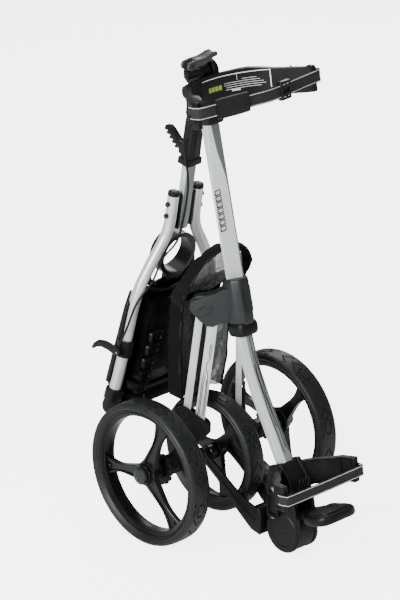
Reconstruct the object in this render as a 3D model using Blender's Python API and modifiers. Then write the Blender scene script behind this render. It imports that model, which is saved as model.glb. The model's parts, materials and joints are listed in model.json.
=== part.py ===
"""Three-wheel golf push trolley, folded and standing on its rear wheels and its fork hinge.

Metres, +Z up, -Y is the side that the bag stands on, X runs along the rear axles.
Every piece is built about the rear axle line, and the whole model hangs on one empty
that puts the middle of its footprint at the origin.
"""
from math import atan2, cos, pi, radians, sin

import bmesh
import bpy
from mathutils import Matrix, Vector

# ---- driving dimensions ----------------------------------------------------------------
MODEL_Y = 0.0772                 # rear axle line, behind the middle of the footprint
GAP = 0.0004                     # clearance left between touching pieces

REAR_R = 0.146                   # rear tyre, 11.5 inch
REAR_TYRE_W = 0.048
REAR_TRACK = 0.174               # wheel centre plane from the middle
FRONT_R = 0.121                  # front tyre, 9.5 inch
FRONT_TYRE_W = 0.044
FRONT_Z = 0.137                  # folded front axle height

LEAN = radians(13.2)             # main tube leans back
HUB = Vector((0, -0.066, 0.475))
UPPER_TUBE = (0.030, 0.025)      # section, across and along
UPPER_TUBE_TOP = 0.428           # above the hub, along the tube
LOWER_TUBE = (0.030, 0.022)
LOWER_PATH = [(-0.074, 0.436), (-0.083, 0.400), (-0.100, 0.350), (-0.124, 0.300),
              (-0.152, 0.250), (-0.180, 0.200), (-0.194, 0.176)]

HINGE_Y, HINGE_Z = -0.216, 0.044  # front fork hinge
HINGE_R = 0.044
HINGE_PIN_R = 0.005
CHEEK_IN, CHEEK_OUT = 0.0185, 0.028
LOWER_WINGS = (0, -0.004, 0.122)
WING_TILT = radians(8)
REST_SLOPE = radians(17)         # bag rest, up as it goes forward

HANDLE_Y, HANDLE_Z = 0.038, 0.915  # handle hinge
HANDLE_LEAN = radians(9.65)
BARREL_R = 0.022
BARREL_W = 0.056
KNUCKLE_HALF = 0.0131            # room for the handle's knuckle between the bracket's two
CAM_X, CAM_Y, CAM_Z = -0.047, 0.026, 0.942
LATCH_X, LATCH_Y, LATCH_Z = -0.006, 0.019, -0.160   # in the handle frame
HANDLE_BAR = (0.026, 0.017)
ROUND_TUBE_R = 0.0115
BOLT_Z = (-0.275, -0.300)        # handle cross bolts, along the handle

LEG_LEAN = radians(7.0)          # rear legs, from the vertical, folded
LEG_LENGTH = 0.228
LEG_TOP = ((0.049, 0.438, 0.020), (0.073, 0.464, 0.015))  # inner, outer: out, up, width
LEG_THICK = 0.012
LEG_PIN_R = 0.004
EAR_THICK = 0.026

CRADLE_R = 0.130                 # upper bag cradle
CRADLE_HEIGHT = 0.060
CRADLE_Z = 0.884
CRADLE_TILT = radians(9)

REAR_WALL = 0.020                # tyre section height
FRONT_WALL = 0.018
SPOKE_TURN = radians(100)
AXLE_R = 0.006
BEARING_WALL = 0.004

# name: colour, roughness, metallic
FINISHES = {
    "silver_tube": ((0.62, 0.64, 0.64), 0.28, 0.9),
    "grey_tube": ((0.36, 0.39, 0.40), 0.35, 0.8),
    "black_plastic": ((0.02, 0.02, 0.022), 0.5, 0.0),
    "slate_plastic": ((0.06, 0.07, 0.075), 0.45, 0.0),
    "grey_lever": ((0.16, 0.17, 0.17), 0.4, 0.0),
    "rubber": ((0.035, 0.037, 0.04), 0.7, 0.0),
    "webbing": ((0.03, 0.03, 0.032), 0.85, 0.0),
    "bag_fabric": ((0.05, 0.05, 0.052), 0.9, 0.0),
    "foam": ((0.02, 0.02, 0.02), 0.9, 0.0),
    "zinc": ((0.6, 0.6, 0.6), 0.3, 1.0),
}


# ---- scene, collections, empties -------------------------------------------------------
for old in list(bpy.data.objects):
    bpy.data.objects.remove(old, do_unlink=True)

parts = bpy.data.collections.new("golf_push_trolley")
cutters = bpy.data.collections.new("cutters")
for group in (parts, cutters):
    bpy.context.scene.collection.children.link(group)


def material(finish, name):
    colour, roughness, metallic = FINISHES[finish]
    made = bpy.data.materials.new(name)
    made.use_nodes = True
    shader = made.node_tree.nodes["Principled BSDF"]
    shader.inputs["Base Color"].default_value = (*colour, 1)
    shader.inputs["Roughness"].default_value = roughness
    shader.inputs["Metallic"].default_value = metallic
    made.diffuse_color = (*colour, 1)
    return made


def empty(name, location=(0, 0, 0), rotation=(0, 0, 0), parent=None):
    made = bpy.data.objects.new(name, None)
    parts.objects.link(made)
    made.location = location
    made.rotation_euler = rotation
    made.parent = parent
    return made


model = empty("model_origin", (0, MODEL_Y, 0))
# Main tube frame: +Z up the tube, +Y behind it.
main_axis = empty("main_axis", HUB, (-LEAN, 0, 0), model)
# Handle frame: -Z runs down the folded handle, +Y behind it.
handle_axis = empty("handle_axis", (0, HANDLE_Y, HANDLE_Z), (HANDLE_LEAN, 0, 0), model)
SIDES = (("left", -1), ("right", 1))


# ---- shape helpers ---------------------------------------------------------------------
def place(mesh, name, finish, location=(0, 0, 0), rotation=(0, 0, 0), parent=model):
    """A finished piece in the parts collection, with its own material."""
    made = bpy.data.objects.new(name, mesh)
    parts.objects.link(made)
    made.location = location
    made.rotation_euler = rotation
    made.parent = parent
    made.data.materials.clear()
    made.data.materials.append(material(finish, name))
    return made


def guide(mesh, name, location=(0, 0, 0), rotation=(0, 0, 0), parent=model):
    """A shape that only cuts or extends another one."""
    made = bpy.data.objects.new(name, mesh)
    cutters.objects.link(made)
    made.location = location
    made.rotation_euler = rotation
    made.parent = parent
    made.hide_render = True
    made.display_type = "WIRE"
    return made


def boolean(target, other, operation):
    step = target.modifiers.new(f"{operation.lower()}_{other.name}", "BOOLEAN")
    step.operation = operation
    step.object = other
    step.solver = "EXACT"


def cut(target, *others):
    for other in others:
        boolean(target, other, "DIFFERENCE")


def join(target, *others):
    for other in others:
        boolean(target, other, "UNION")


def bevel(target, width, segments=1, angle=40):
    step = target.modifiers.new("bevel", "BEVEL")
    step.width = width
    step.segments = segments
    step.limit_method = "ANGLE"
    step.angle_limit = radians(angle)


def smooth(mesh, angle=35):
    mesh.shade_smooth()
    mesh.set_sharp_from_angle(angle=radians(angle))


def box_mesh(size, name="box"):
    mesh = bpy.data.meshes.new(name)
    shape = bmesh.new()
    bmesh.ops.create_cube(shape, size=1)
    bmesh.ops.scale(shape, vec=size, verts=shape.verts)
    shape.to_mesh(mesh)
    shape.free()
    return mesh


def cylinder_mesh(radius, length, sides=16, name="cylinder"):
    mesh = bpy.data.meshes.new(name)
    shape = bmesh.new()
    bmesh.ops.create_cone(shape, cap_ends=True, segments=sides, radius1=radius,
                          radius2=radius, depth=length)
    shape.to_mesh(mesh)
    shape.free()
    smooth(mesh)
    return mesh


def arc(centre_x, centre_y, radius, start, end, count):
    """Points on a circle, angles in degrees."""
    found = []
    for step in range(count + 1):
        angle = radians(start + (end - start) * step / count)
        found.append((centre_x + radius * cos(angle), centre_y + radius * sin(angle)))
    return found


def curve_mesh(curve, name):
    """The welded mesh of a curve that has thickness."""
    holder = bpy.data.objects.new(name, curve)
    parts.objects.link(holder)
    graph = bpy.context.evaluated_depsgraph_get()
    mesh = bpy.data.meshes.new_from_object(holder.evaluated_get(graph))
    shape = bmesh.new()
    shape.from_mesh(mesh)
    bmesh.ops.remove_doubles(shape, verts=shape.verts, dist=0.00002)
    bmesh.ops.recalc_face_normals(shape, faces=shape.faces)
    if shape.calc_volume(signed=True) < 0:
        bmesh.ops.reverse_faces(shape, faces=shape.faces)
    shape.to_mesh(mesh)
    shape.free()
    bpy.data.objects.remove(holder, do_unlink=True)
    smooth(mesh)
    return mesh


def plate_mesh(points, thickness, name="plate"):
    """A flat outline in X and Y, with its thickness centred on Z."""
    curve = bpy.data.curves.new(name, "CURVE")
    curve.dimensions = "2D"
    curve.fill_mode = "BOTH"
    curve.extrude = thickness / 2
    line = curve.splines.new("POLY")
    line.points.add(len(points) - 1)
    for point, (x, y) in zip(line.points, points):
        point.co = (x, y, 0, 1)
    line.use_cyclic_u = True
    return curve_mesh(curve, name)


# A plate's own X and Y laid along the world's Y and Z, or along X and Z.
ALONG_YZ = (pi / 2, 0, pi / 2)
ALONG_XZ = (pi / 2, 0, 0)
ALONG_X = (0, pi / 2, 0)
ALONG_Y = (pi / 2, 0, 0)


def smooth_path(points, steps):
    """Points along a smooth curve through the given ones."""
    knots = [Vector(point) for point in points]
    knots = [2 * knots[0] - knots[1]] + knots + [2 * knots[-1] - knots[-2]]
    found = []
    for index in range(1, len(knots) - 2):
        before, start, end, after = knots[index - 1:index + 3]
        for step in range(steps):
            t = step / steps
            found.append(0.5 * (2 * start + (end - before) * t
                                + (2 * before - 5 * start + 4 * end - after) * t ** 2
                                + (3 * start - before - 3 * end + after) * t ** 3))
    found.append(knots[-2])
    return found


def tube_mesh(points, radius, resolution=4, name="tube"):
    curve = bpy.data.curves.new(name, "CURVE")
    curve.dimensions = "3D"
    curve.bevel_depth = radius
    curve.bevel_resolution = resolution
    curve.use_fill_caps = True
    line = curve.splines.new("POLY")
    line.points.add(len(points) - 1)
    for point, place_at in zip(line.points, points):
        point.co = (*place_at, 1)
    return curve_mesh(curve, name)


def band_outline(centre, thickness):
    """The closed outline of a strip of even thickness about a line in X and Y."""
    line = [Vector(point) for point in centre]
    near = []
    far = []
    for index, point in enumerate(line):
        along = line[min(index + 1, len(line) - 1)] - line[max(index - 1, 0)]
        side = Vector((-along.y, along.x)).normalized() * thickness / 2
        near.append(point + side)
        far.append(point - side)
    return [tuple(point) for point in near + far[::-1]]


def turned_mesh(profile, steps, name="turned", ring=False):
    """A profile of (radius, height) turned about Z; a ring closes on itself."""
    area = 0
    for (r0, z0), (r1, z1) in zip(profile, profile[1:] + profile[:1]):
        area += r0 * z1 - r1 * z0
    ordered = profile if area < 0 else profile[::-1]
    mesh = bpy.data.meshes.new(name)
    shape = bmesh.new()
    points = [shape.verts.new((r, 0, z)) for r, z in ordered]
    for start, end in zip(points, points[1:]):
        shape.edges.new((start, end))
    if ring:
        shape.edges.new((points[-1], points[0]))
    shape.to_mesh(mesh)
    shape.free()
    holder = bpy.data.objects.new(name, mesh)
    parts.objects.link(holder)
    step = holder.modifiers.new("screw", "SCREW")
    step.steps = step.render_steps = steps
    step.use_merge_vertices = True
    step.merge_threshold = 0.00002
    graph = bpy.context.evaluated_depsgraph_get()
    made = bpy.data.meshes.new_from_object(holder.evaluated_get(graph))
    bpy.data.objects.remove(holder, do_unlink=True)
    smooth(made)
    return made


def polar(radius, angle):
    return (radius * cos(angle), radius * sin(angle))


# ---- main frame ------------------------------------------------------------------------
def rounded_rectangle(width, depth, radius, count=3):
    x = width / 2 - radius
    y = depth / 2 - radius
    return (arc(x, y, radius, 0, 90, count) + arc(-x, y, radius, 90, 180, count)
            + arc(-x, -y, radius, 180, 270, count) + arc(x, -y, radius, 270, 360, count))


def straight_tube(name, finish, section, low, high, parent, maker=place, radius=0.007):
    mesh = plate_mesh(rounded_rectangle(*section, radius), high - low, name)
    if maker is guide:
        return guide(mesh, name, (0, 0, (low + high) / 2), parent=parent)
    return place(mesh, name, finish, (0, 0, (low + high) / 2), parent=parent)


def lower_tube_outline(grow=0.0):
    centre = smooth_path([(y, z, 0) for y, z in LOWER_PATH], 2)
    return band_outline([point.xy for point in centre], LOWER_TUBE[1] + 2 * grow)


def build_tubes():
    straight_tube("upper_tube", "silver_tube", UPPER_TUBE, -0.030, UPPER_TUBE_TOP, main_axis)
    lower = place(plate_mesh(lower_tube_outline(), LOWER_TUBE[0], "lower_tube"),
                  "lower_tube", "silver_tube", rotation=ALONG_YZ)
    bevel(lower, 0.004)


def ear_direction(side):
    return Vector((side * sin(pi / 4), sin(pi / 4), 0))


def ear_empty(name, side, out, up):
    """+X runs out along the ear, +Z is up, +Y is square to the ear's plane."""
    start = Vector((0, HUB.y, 0)) + ear_direction(side) * out
    turn = pi / 4 if side > 0 else 3 * pi / 4
    return empty(name, (start.x, start.y, up), (0, 0, turn), model)


def build_hub():
    collar = [(0.023, -0.013), (0.013, -0.024), (-0.013, -0.024), (-0.023, -0.013),
              (-0.023, 0.014), (-0.013, 0.023), (0.013, 0.023), (0.023, 0.014)]
    hub = place(plate_mesh(collar, 0.092, "hub"), "hub", "slate_plastic", (0, 0, 0.001),
                parent=main_axis)
    ear = [(0.000, 0.432), (0.034, 0.432), (0.052, 0.424), (0.066, 0.430), (0.088, 0.452),
           *arc(0.082, 0.470, 0.014, -30, 80, 3), (0.062, 0.492), (0.030, 0.502),
           (0.000, 0.506)]
    for name, side in SIDES:
        frame = ear_empty(f"ear_plane_{name}", side, 0, 0)
        join(hub, guide(plate_mesh(ear, EAR_THICK), f"ear_{name}", rotation=ALONG_XZ,
                        parent=frame))
    cut(hub, straight_tube("upper_bore", None, (UPPER_TUBE[0] + 2 * GAP,
                                                UPPER_TUBE[1] + 2 * GAP),
                           -0.0305 - GAP, 0.2, main_axis, guide, 0.0072))
    bore = guide(plate_mesh(lower_tube_outline(GAP), LOWER_TUBE[0] + 2 * GAP), "lower_bore",
                 rotation=ALONG_YZ)
    cut(hub, bore)
    for name, side in SIDES:
        frame = bpy.data.objects[f"ear_plane_{name}"]
        slot = [(0.036, 0.30), (0.036, 0.452), (0.058, 0.482), (0.12, 0.482), (0.12, 0.30)]
        cut(hub, guide(plate_mesh(slot, LEG_THICK + 0.0012), f"ear_slot_{name}",
                       rotation=ALONG_XZ, parent=frame))
        for link, (out, up, _) in zip(("inner", "outer"), LEG_TOP):
            cut(hub, guide(cylinder_mesh(LEG_PIN_R + 0.0003, 0.05, 12),
                           f"ear_hole_{link}_{name}", (out, 0, up), (pi / 2, 0, 0), frame))
    ring = straight_tube("hub_collar", "black_plastic", (0.042, 0.036), -0.062, -0.046,
                         main_axis, radius=0.009)
    cut(ring, guide(plate_mesh(lower_tube_outline(GAP), LOWER_TUBE[0] + 2 * GAP),
                    "collar_bore", rotation=ALONG_YZ))


def build_lower_bracket():
    """Casting with the tube socket, the lower bag wings, the fork hinge cheeks and the rest."""
    outline = [(-0.178, 0.172), (-0.208, 0.186), (-0.232, 0.160), (-0.250, 0.105)]
    outline += arc(HINGE_Y, HINGE_Z, HINGE_R, 180, 350, 12)
    outline += [(-0.180, 0.085), (-0.168, 0.125)]
    bracket = place(plate_mesh(outline, 2 * CHEEK_OUT, "lower_bracket"), "lower_bracket",
                    "black_plastic", rotation=ALONG_YZ)
    bevel(bracket, 0.003)
    wings = ([(-0.097, -0.292), (-0.090, -0.262)] + arc(0, -0.290, 0.082, 150, 30, 8)
             + [(0.090, -0.262), (0.097, -0.292)])
    join(bracket, guide(plate_mesh(band_outline(wings, 0.010), 0.048), "lower_wings",
                        LOWER_WINGS, (-WING_TILT, 0, 0)))
    lower_bore = guide(plate_mesh(lower_tube_outline(GAP), LOWER_TUBE[0] + 2 * GAP),
                       "bracket_bore", rotation=ALONG_YZ)
    slot = [(-0.330, -0.02), (-0.330, 0.060), (-0.262, 0.096), (-0.186, 0.100), (-0.12, 0.106),
            (-0.12, -0.02)]
    cut(bracket, lower_bore,
        guide(plate_mesh(slot, 2 * CHEEK_IN), "hinge_slot", rotation=ALONG_YZ),
        guide(cylinder_mesh(HINGE_PIN_R + 0.0003, 0.1, 12), "bracket_pin_hole",
              (0, HINGE_Y, HINGE_Z), ALONG_X))
    place(cylinder_mesh(HINGE_PIN_R, 2 * CHEEK_OUT - 0.002, 12), "fork_hinge_pin", "zinc",
          (0, HINGE_Y, HINGE_Z), ALONG_X)
    # Spring plunger that locks the fork, in a lug on the near side of the casting.
    lug = [(-0.186, 0.078), (-0.214, 0.078), (-0.214, 0.126), (-0.186, 0.126)]
    join(bracket, guide(plate_mesh(lug, 0.018), "plunger_lug", (-CHEEK_OUT - 0.006, 0, 0),
                        ALONG_YZ))
    cut(bracket, guide(cylinder_mesh(0.0058, 0.060, 12), "plunger_hole",
                       (-CHEEK_OUT - 0.006, -0.199, 0.102)))
    place(cylinder_mesh(0.0052, 0.058, 12), "fork_lock_plunger", "zinc",
          (-CHEEK_OUT - 0.006, -0.199, 0.104))


def build_bag_rest():
    """Tongue under the bag, sloping up as it goes forward."""
    tilt = Matrix.Rotation(-REST_SLOPE, 3, "X") @ Matrix.Rotation(-pi / 2, 3, "Z")
    rest_axis = empty("rest_axis", (0, -0.2570, 0.088), tilt.to_euler(), model)
    rest = [(0, -0.022), (0, 0.022), (0.040, 0.044), (0.052, 0.047),
            *arc(0.080, 0.029, 0.018, 90, 0, 3), *arc(0.080, -0.029, 0.018, 0, -90, 3),
            (0.052, -0.047), (0.040, -0.044)]
    tongue = place(plate_mesh(rest, 0.018, "bag_rest"), "bag_rest", "black_plastic",
                   parent=rest_axis)
    bevel(tongue, 0.004)
    pad = [(0.038, -0.034), (0.038, 0.034), *arc(0.078, 0.024, 0.012, 90, 0, 3),
           *arc(0.078, -0.024, 0.012, 0, -90, 3)]
    place(plate_mesh(pad, 0.004, "bag_rest_pad"), "bag_rest_pad", "rubber",
          (0, 0, 0.0114), parent=rest_axis)


# ---- upper bracket and its straps ------------------------------------------------------
def cradle_line(grow=0.0):
    """Plan of the upper cradle's middle line, from one tip round the back to the other."""
    centre_y = -0.118
    tip = (0.152 + grow, -0.112)
    return ([(-tip[0], tip[1])] + arc(0, centre_y, CRADLE_R + grow, 148, 32, 10) + [tip])


def build_upper_bracket():
    """Cradle, tube socket and hinge knuckles in one moulding."""
    bracket = place(plate_mesh(band_outline(cradle_line(), 0.012), CRADLE_HEIGHT,
                               "upper_bracket"),
                    "upper_bracket", "black_plastic", (0, 0, CRADLE_Z), (-CRADLE_TILT, 0, 0))
    join(bracket, guide(box_mesh((0.048, 0.040, 0.064)), "mast", (0, -0.003, 0.400),
                        parent=main_axis))
    for name, side in SIDES:
        middle = side * (KNUCKLE_HALF + BARREL_W / 2) / 2
        join(bracket, guide(cylinder_mesh(BARREL_R, BARREL_W / 2 - KNUCKLE_HALF, 20),
                            f"barrel_{name}", (middle, HANDLE_Y, HANDLE_Z), ALONG_X))
    cut(bracket,
        straight_tube("cradle_bore", None, (UPPER_TUBE[0] + 2 * GAP, UPPER_TUBE[1] + 2 * GAP),
                      0.30, UPPER_TUBE_TOP + GAP, main_axis, guide, 0.0072),
        guide(cylinder_mesh(BARREL_R - 0.0032, 2 * KNUCKLE_HALF, 20), "knuckle_room",
              (0, HANDLE_Y, HANDLE_Z), ALONG_X),
        guide(cylinder_mesh(HINGE_PIN_R + 0.0003, 0.1, 12), "handle_pin_hole",
              (0, HANDLE_Y, HANDLE_Z), ALONG_X))
    join(bracket, guide(box_mesh((0.036, 0.013, 0.016)), "cam_arm",
                        (CAM_X + 0.011, CAM_Y - 0.0015, 0.924)),
         guide(box_mesh((0.009, 0.008, 0.027)), "cam_tab", (CAM_X, CAM_Y, 0.9335)))
    cut(bracket, guide(cylinder_mesh(0.0028, 0.05, 10), "cam_tab_hole",
                       (CAM_X, CAM_Y, CAM_Z), ALONG_Y))
    place(cylinder_mesh(HINGE_PIN_R, BARREL_W - 0.002, 12), "handle_hinge_pin", "zinc",
          (0, HANDLE_Y, HANDLE_Z), ALONG_X)


def build_cam_lever():
    """Cam lever across the top of the hinge barrel; it turns about its own pin."""
    pivot = empty("cam_axis", (CAM_X, CAM_Y, CAM_Z), parent=model)
    outline = (arc(0, 0, 0.008, 90, 270, 5)
               + [(0.010, -0.001), (0.028, 0.0015), (0.050, 0.003), (0.066, 0.008),
                  (0.072, 0.013), (0.070, 0.016), (0.052, 0.015), (0.034, 0.014),
                  (0.014, 0.011)])
    lever = place(plate_mesh(outline, 0.024, "cam_lever"), "cam_lever", "grey_lever",
                  rotation=ALONG_XZ, parent=pivot)
    bevel(lever, 0.002)
    cut(lever, guide(box_mesh((0.030, 0.0088, 0.050)), "cam_slot", (-0.0065, 0, -0.003),
                     parent=pivot),
        guide(cylinder_mesh(0.0028, 0.05, 10), "cam_hole", rotation=ALONG_Y, parent=pivot))
    place(cylinder_mesh(0.0025, 0.023, 10), "cam_pin", "zinc", (CAM_X, CAM_Y, CAM_Z), ALONG_Y)


def tilted(name):
    """Frame of the upper cradle, for what is strapped to it."""
    return empty(name, (0, 0, CRADLE_Z), (-CRADLE_TILT, 0, 0), model)


def build_straps():
    frame = tilted("upper_strap_axis")
    line = [(-0.1585, -0.098), (-0.1615, -0.116), (-0.154, -0.126), (0, -0.152),
            (0.154, -0.126), (0.1615, -0.116), (0.1585, -0.098)]
    place(plate_mesh(band_outline(line, 0.003), 0.025, "upper_strap"), "upper_strap",
          "webbing", (0, 0, 0.008), parent=frame)
    slope = atan2(0.026, 0.154)
    sleeve = place(box_mesh((0.078, 0.009, 0.036), "strap_sleeve"), "strap_sleeve",
                   "webbing", (-0.085, -0.1377, 0.008), (0, 0, -slope), frame)
    buckle = place(box_mesh((0.026, 0.011, 0.034), "strap_buckle"), "strap_buckle",
                   "black_plastic", (0.072, -0.1398, 0.008), (0, 0, slope), frame)
    for piece, half in ((sleeve, 0.082), (buckle, 0.030)):
        cut(piece, guide(box_mesh((2 * half, 0.0050, 0.0258)), f"{piece.name}_slot",
                         piece.location, piece.rotation_euler, frame))
    bevel(sleeve, 0.001)
    bevel(buckle, 0.001)
    lower = [(-0.1035, -0.280), (-0.1045, -0.297), (-0.098, -0.3045), (0, -0.306),
             (0.098, -0.3045), (0.1045, -0.297), (0.1035, -0.280)]
    place(plate_mesh(band_outline(lower, 0.003), 0.022, "lower_strap"), "lower_strap",
          "webbing", LOWER_WINGS, (-WING_TILT, 0, 0))


# ---- wheels ----------------------------------------------------------------------------
def tyre_profile(radius, width, wall):
    half = width / 2
    return [(radius - wall, -half * 0.72), (radius - 0.009, -half),
            (radius - 0.0012, -half * 0.70), (radius, -half * 0.3), (radius, half * 0.3),
            (radius - 0.0012, half * 0.70), (radius - 0.009, half),
            (radius - wall, half * 0.72)]


def rim_profile(radius, width):
    half = width / 2 * 0.72
    return [(radius, -half), (radius, half), (radius - 0.004, half),
            (radius - 0.010, half * 0.45), (radius - 0.010, -half * 0.45),
            (radius - 0.004, -half)]


def wheel_rim(name, radius, width, spokes, hub_r, hub_len, bore_r, parent):
    """Barrel, hub and spokes joined; the outer face looks along the parent's +Z."""
    rim = place(turned_mesh(rim_profile(radius, width), 32, name, ring=True), name,
                "black_plastic", parent=parent)
    join(rim, guide(cylinder_mesh(hub_r, hub_len, 20), f"{name}_hub", parent=parent))
    reach = radius - 0.006
    for index in range(spokes):
        outline = [(hub_r * 0.6, -hub_r * 0.62), (reach * 0.62, -0.0065), (reach, -0.0125),
                   (reach, 0.0125), (reach * 0.62, 0.0065), (hub_r * 0.6, hub_r * 0.62)]
        turn = 2 * pi * index / spokes + SPOKE_TURN
        join(rim, guide(plate_mesh(outline, 0.013), f"{name}_spoke_{index}",
                        (0, 0, width * 0.12), (0, 0, turn), parent))
    cut(rim, guide(cylinder_mesh(bore_r, 0.2, 16), f"{name}_bore", parent=parent))
    return rim


def build_rear_wheel(name, side):
    """Everything that turns about one rear axle, and the wheel bracket that carries it."""
    turn = pi / 2 * side
    axis = empty(f"rear_axis_{name}", (side * REAR_TRACK, 0, REAR_R), (0, turn, 0), model)
    rim_r = REAR_R - REAR_WALL
    place(turned_mesh(tyre_profile(REAR_R, REAR_TYRE_W, REAR_WALL - GAP), 32,
                      f"rear_tyre_{name}", ring=True), f"rear_tyre_{name}", "rubber",
          parent=axis)
    wheel_rim(f"rear_rim_{name}", rim_r, REAR_TYRE_W, 3, 0.019, 0.046, AXLE_R + BEARING_WALL,
              axis)
    cap = [(0, 0.0235), (0.0175, 0.0235), (0.0175, 0.028), (0.014, 0.0315), (0, 0.0325)]
    place(turned_mesh(cap, 20, f"hub_cap_{name}"), f"hub_cap_{name}", "black_plastic",
          parent=axis)
    bearing = [(AXLE_R + 0.0003, -0.022), (AXLE_R + BEARING_WALL - GAP, -0.022),
               (AXLE_R + BEARING_WALL - GAP, 0.022), (AXLE_R + 0.0003, 0.022)]
    place(turned_mesh(bearing, 16, f"wheel_bearing_{name}", ring=True),
          f"wheel_bearing_{name}", "zinc", parent=axis)
    teeth = [polar(0.034 if k % 4 < 2 else 0.029, 2 * pi * k / 48) for k in range(48)]
    brake = place(plate_mesh(teeth, 0.006, f"brake_ring_{name}"), f"brake_ring_{name}",
                  "black_plastic", (0, 0, -0.0268), parent=axis)
    cut(brake, guide(cylinder_mesh(AXLE_R + 0.001, 0.1, 16), f"brake_bore_{name}",
                     parent=axis))
    place(cylinder_mesh(AXLE_R, 0.081, 16), f"rear_axle_{name}", "zinc",
          (0, 0, 0.0225 - 0.0405), parent=axis)


def leg_points(out, up, side):
    """World places of one link's two pivots, in the trolley's own frame."""
    top = Vector((0, HUB.y, up)) + ear_direction(side) * out
    foot = (top + ear_direction(side) * LEG_LENGTH * sin(LEG_LEAN)
            - Vector((0, 0, LEG_LENGTH * cos(LEG_LEAN))))
    return top, foot


def build_leg(name, side):
    """Two flat links and the wheel bracket of one rear leg, a parallelogram."""
    turn = pi / 4 if side > 0 else 3 * pi / 4
    feet = []
    for link, (out, up, width) in zip(("inner", "outer"), LEG_TOP):
        top, foot = leg_points(out, up, side)
        feet.append(foot)
        axis = empty(f"leg_axis_{link}_{name}", top, (0, 0, turn), model)
        swing = empty(f"leg_swing_{link}_{name}", (0, 0, 0), (0, -LEG_LEAN, 0), axis)
        half = width / 2
        outline = arc(0, 0, half, 0, 180, 5) + arc(0, -LEG_LENGTH, half, 180, 360, 5)
        made = place(plate_mesh(outline, LEG_THICK, f"leg_{link}_{name}"),
                     f"leg_{link}_{name}", "silver_tube", rotation=ALONG_XZ, parent=swing)
        for end, height in (("top", 0), ("foot", -LEG_LENGTH)):
            cut(made, guide(cylinder_mesh(LEG_PIN_R + 0.0004, 0.05, 12),
                            f"leg_hole_{end}_{link}_{name}", (0, 0, height), ALONG_Y, swing))
        place(cylinder_mesh(LEG_PIN_R, EAR_THICK - 0.001, 12), f"leg_pin_{link}_{name}",
              "zinc", rotation=ALONG_Y, parent=axis)
    # Wheel bracket: a slotted block round the two lower pivots, and an arm to the axle.
    middle = (feet[0] + feet[1]) / 2
    block_axis = empty(f"block_axis_{name}", middle, (0, 0, turn), model)
    block = place(box_mesh((0.058, EAR_THICK, 0.066), f"wheel_bracket_{name}"),
                  f"wheel_bracket_{name}", "black_plastic", (-0.001, 0, -0.004),
                  parent=block_axis)
    bevel(block, 0.003)
    cut(block, guide(box_mesh((0.2, LEG_THICK + 0.0012, 0.2)), f"block_slot_{name}",
                     (0, 0, 0.1 - 0.026), parent=block_axis))
    for link, foot in zip(("inner", "outer"), feet):
        join(block, guide(cylinder_mesh(LEG_PIN_R, EAR_THICK - 0.004, 12),
                          f"block_pin_{link}_{name}",
                          block_axis_point(foot, middle, turn), ALONG_Y, block_axis))
    low = middle.z - 0.034
    arm = [(side * (abs(middle.x) - 0.016), low + 0.004), (side * (abs(middle.x) + 0.016),
                                                         low + 0.004),
           (side * 0.108, REAR_R + 0.019), (side * 0.1425, REAR_R + 0.019),
           (side * 0.1425, REAR_R - 0.019), (side * 0.098, REAR_R - 0.019),
           (side * 0.060, REAR_R + 0.004)]
    join(block, guide(plate_mesh(arm, 0.026), f"bracket_arm_{name}", (0, 0, 0), ALONG_XZ))
    cut(block, guide(cylinder_mesh(AXLE_R + GAP, 0.0465, 16), f"axle_seat_{name}",
                     (side * 0.1245, 0, REAR_R), ALONG_X))


def block_axis_point(foot, middle, turn):
    """A lower pivot seen from the block's own turned frame."""
    return Matrix.Rotation(-turn, 3, "Z") @ (foot - middle)


def build_front_wheel():
    axis = empty("front_axis", (0, 0, FRONT_Z), (0, pi / 2, 0), model)
    rim_r = FRONT_R - FRONT_WALL
    place(turned_mesh(tyre_profile(FRONT_R, FRONT_TYRE_W, FRONT_WALL - GAP), 32,
                      "front_tyre", ring=True), "front_tyre", "rubber", parent=axis)
    wheel_rim("front_rim", rim_r, FRONT_TYRE_W, 3, 0.016, 0.044, 0.0056, axis)
    place(cylinder_mesh(0.0052, 0.080, 16), "front_axle", "zinc", parent=axis)


def build_fork():
    """Two arms round the folded front wheel, joined by a bridge to the hinge hub."""
    hub = place(cylinder_mesh(HINGE_R - 0.006, 2 * CHEEK_IN - 0.001, 24, name="fork"), "fork",
                "black_plastic", (0, HINGE_Y, HINGE_Z), ALONG_X)
    bridge = [(-0.246, 0.040), (-0.222, 0.022), (-0.150, 0.023), (-0.136, 0.034),
              (-0.142, 0.066), (-0.176, 0.074), (-0.200, 0.074)]
    join(hub, guide(plate_mesh(bridge, 2 * CHEEK_IN - 0.001), "fork_neck",
                    rotation=ALONG_YZ))
    yoke = [(-0.166, 0.022), (-0.146, 0.024), (-0.130, 0.040), (-0.136, 0.072), (-0.158, 0.078),
            (-0.166, 0.070)]
    join(hub, guide(plate_mesh(yoke, 0.076), "fork_yoke", rotation=ALONG_YZ))
    arm = [(-0.164, 0.020), (-0.120, 0.040), (-0.075, 0.074), (-0.010, 0.122),
           *arc(0, FRONT_Z, 0.016, -40, 160, 6), (-0.078, 0.104), (-0.130, 0.080),
           (-0.160, 0.074)]
    for name, side in SIDES:
        join(hub, guide(plate_mesh(arm, 0.008), f"fork_arm_{name}", (side * 0.034, 0, 0),
                        ALONG_YZ))
    cut(hub, guide(cylinder_mesh(0.0056, 0.2, 16), "fork_axle_hole", (0, 0, FRONT_Z), ALONG_X),
        guide(cylinder_mesh(HINGE_PIN_R + 0.0003, 0.1, 12), "fork_pin_hole",
              (0, HINGE_Y, HINGE_Z), ALONG_X))


# ---- handle, in the handle frame: -Z down the folded handle, +Y behind it ----------------
def handle_tube_route(side):
    return [(side * x, 0, z) for x, z in
            ((0.032, -0.2536), (0.0325, -0.290), (0.034, -0.322), (0.043, -0.352),
             (0.069, -0.396), (0.092, -0.440), (0.1045, -0.485), (0.112, -0.550),
             (0.121, -0.620), (0.1305, -0.676))]


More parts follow.
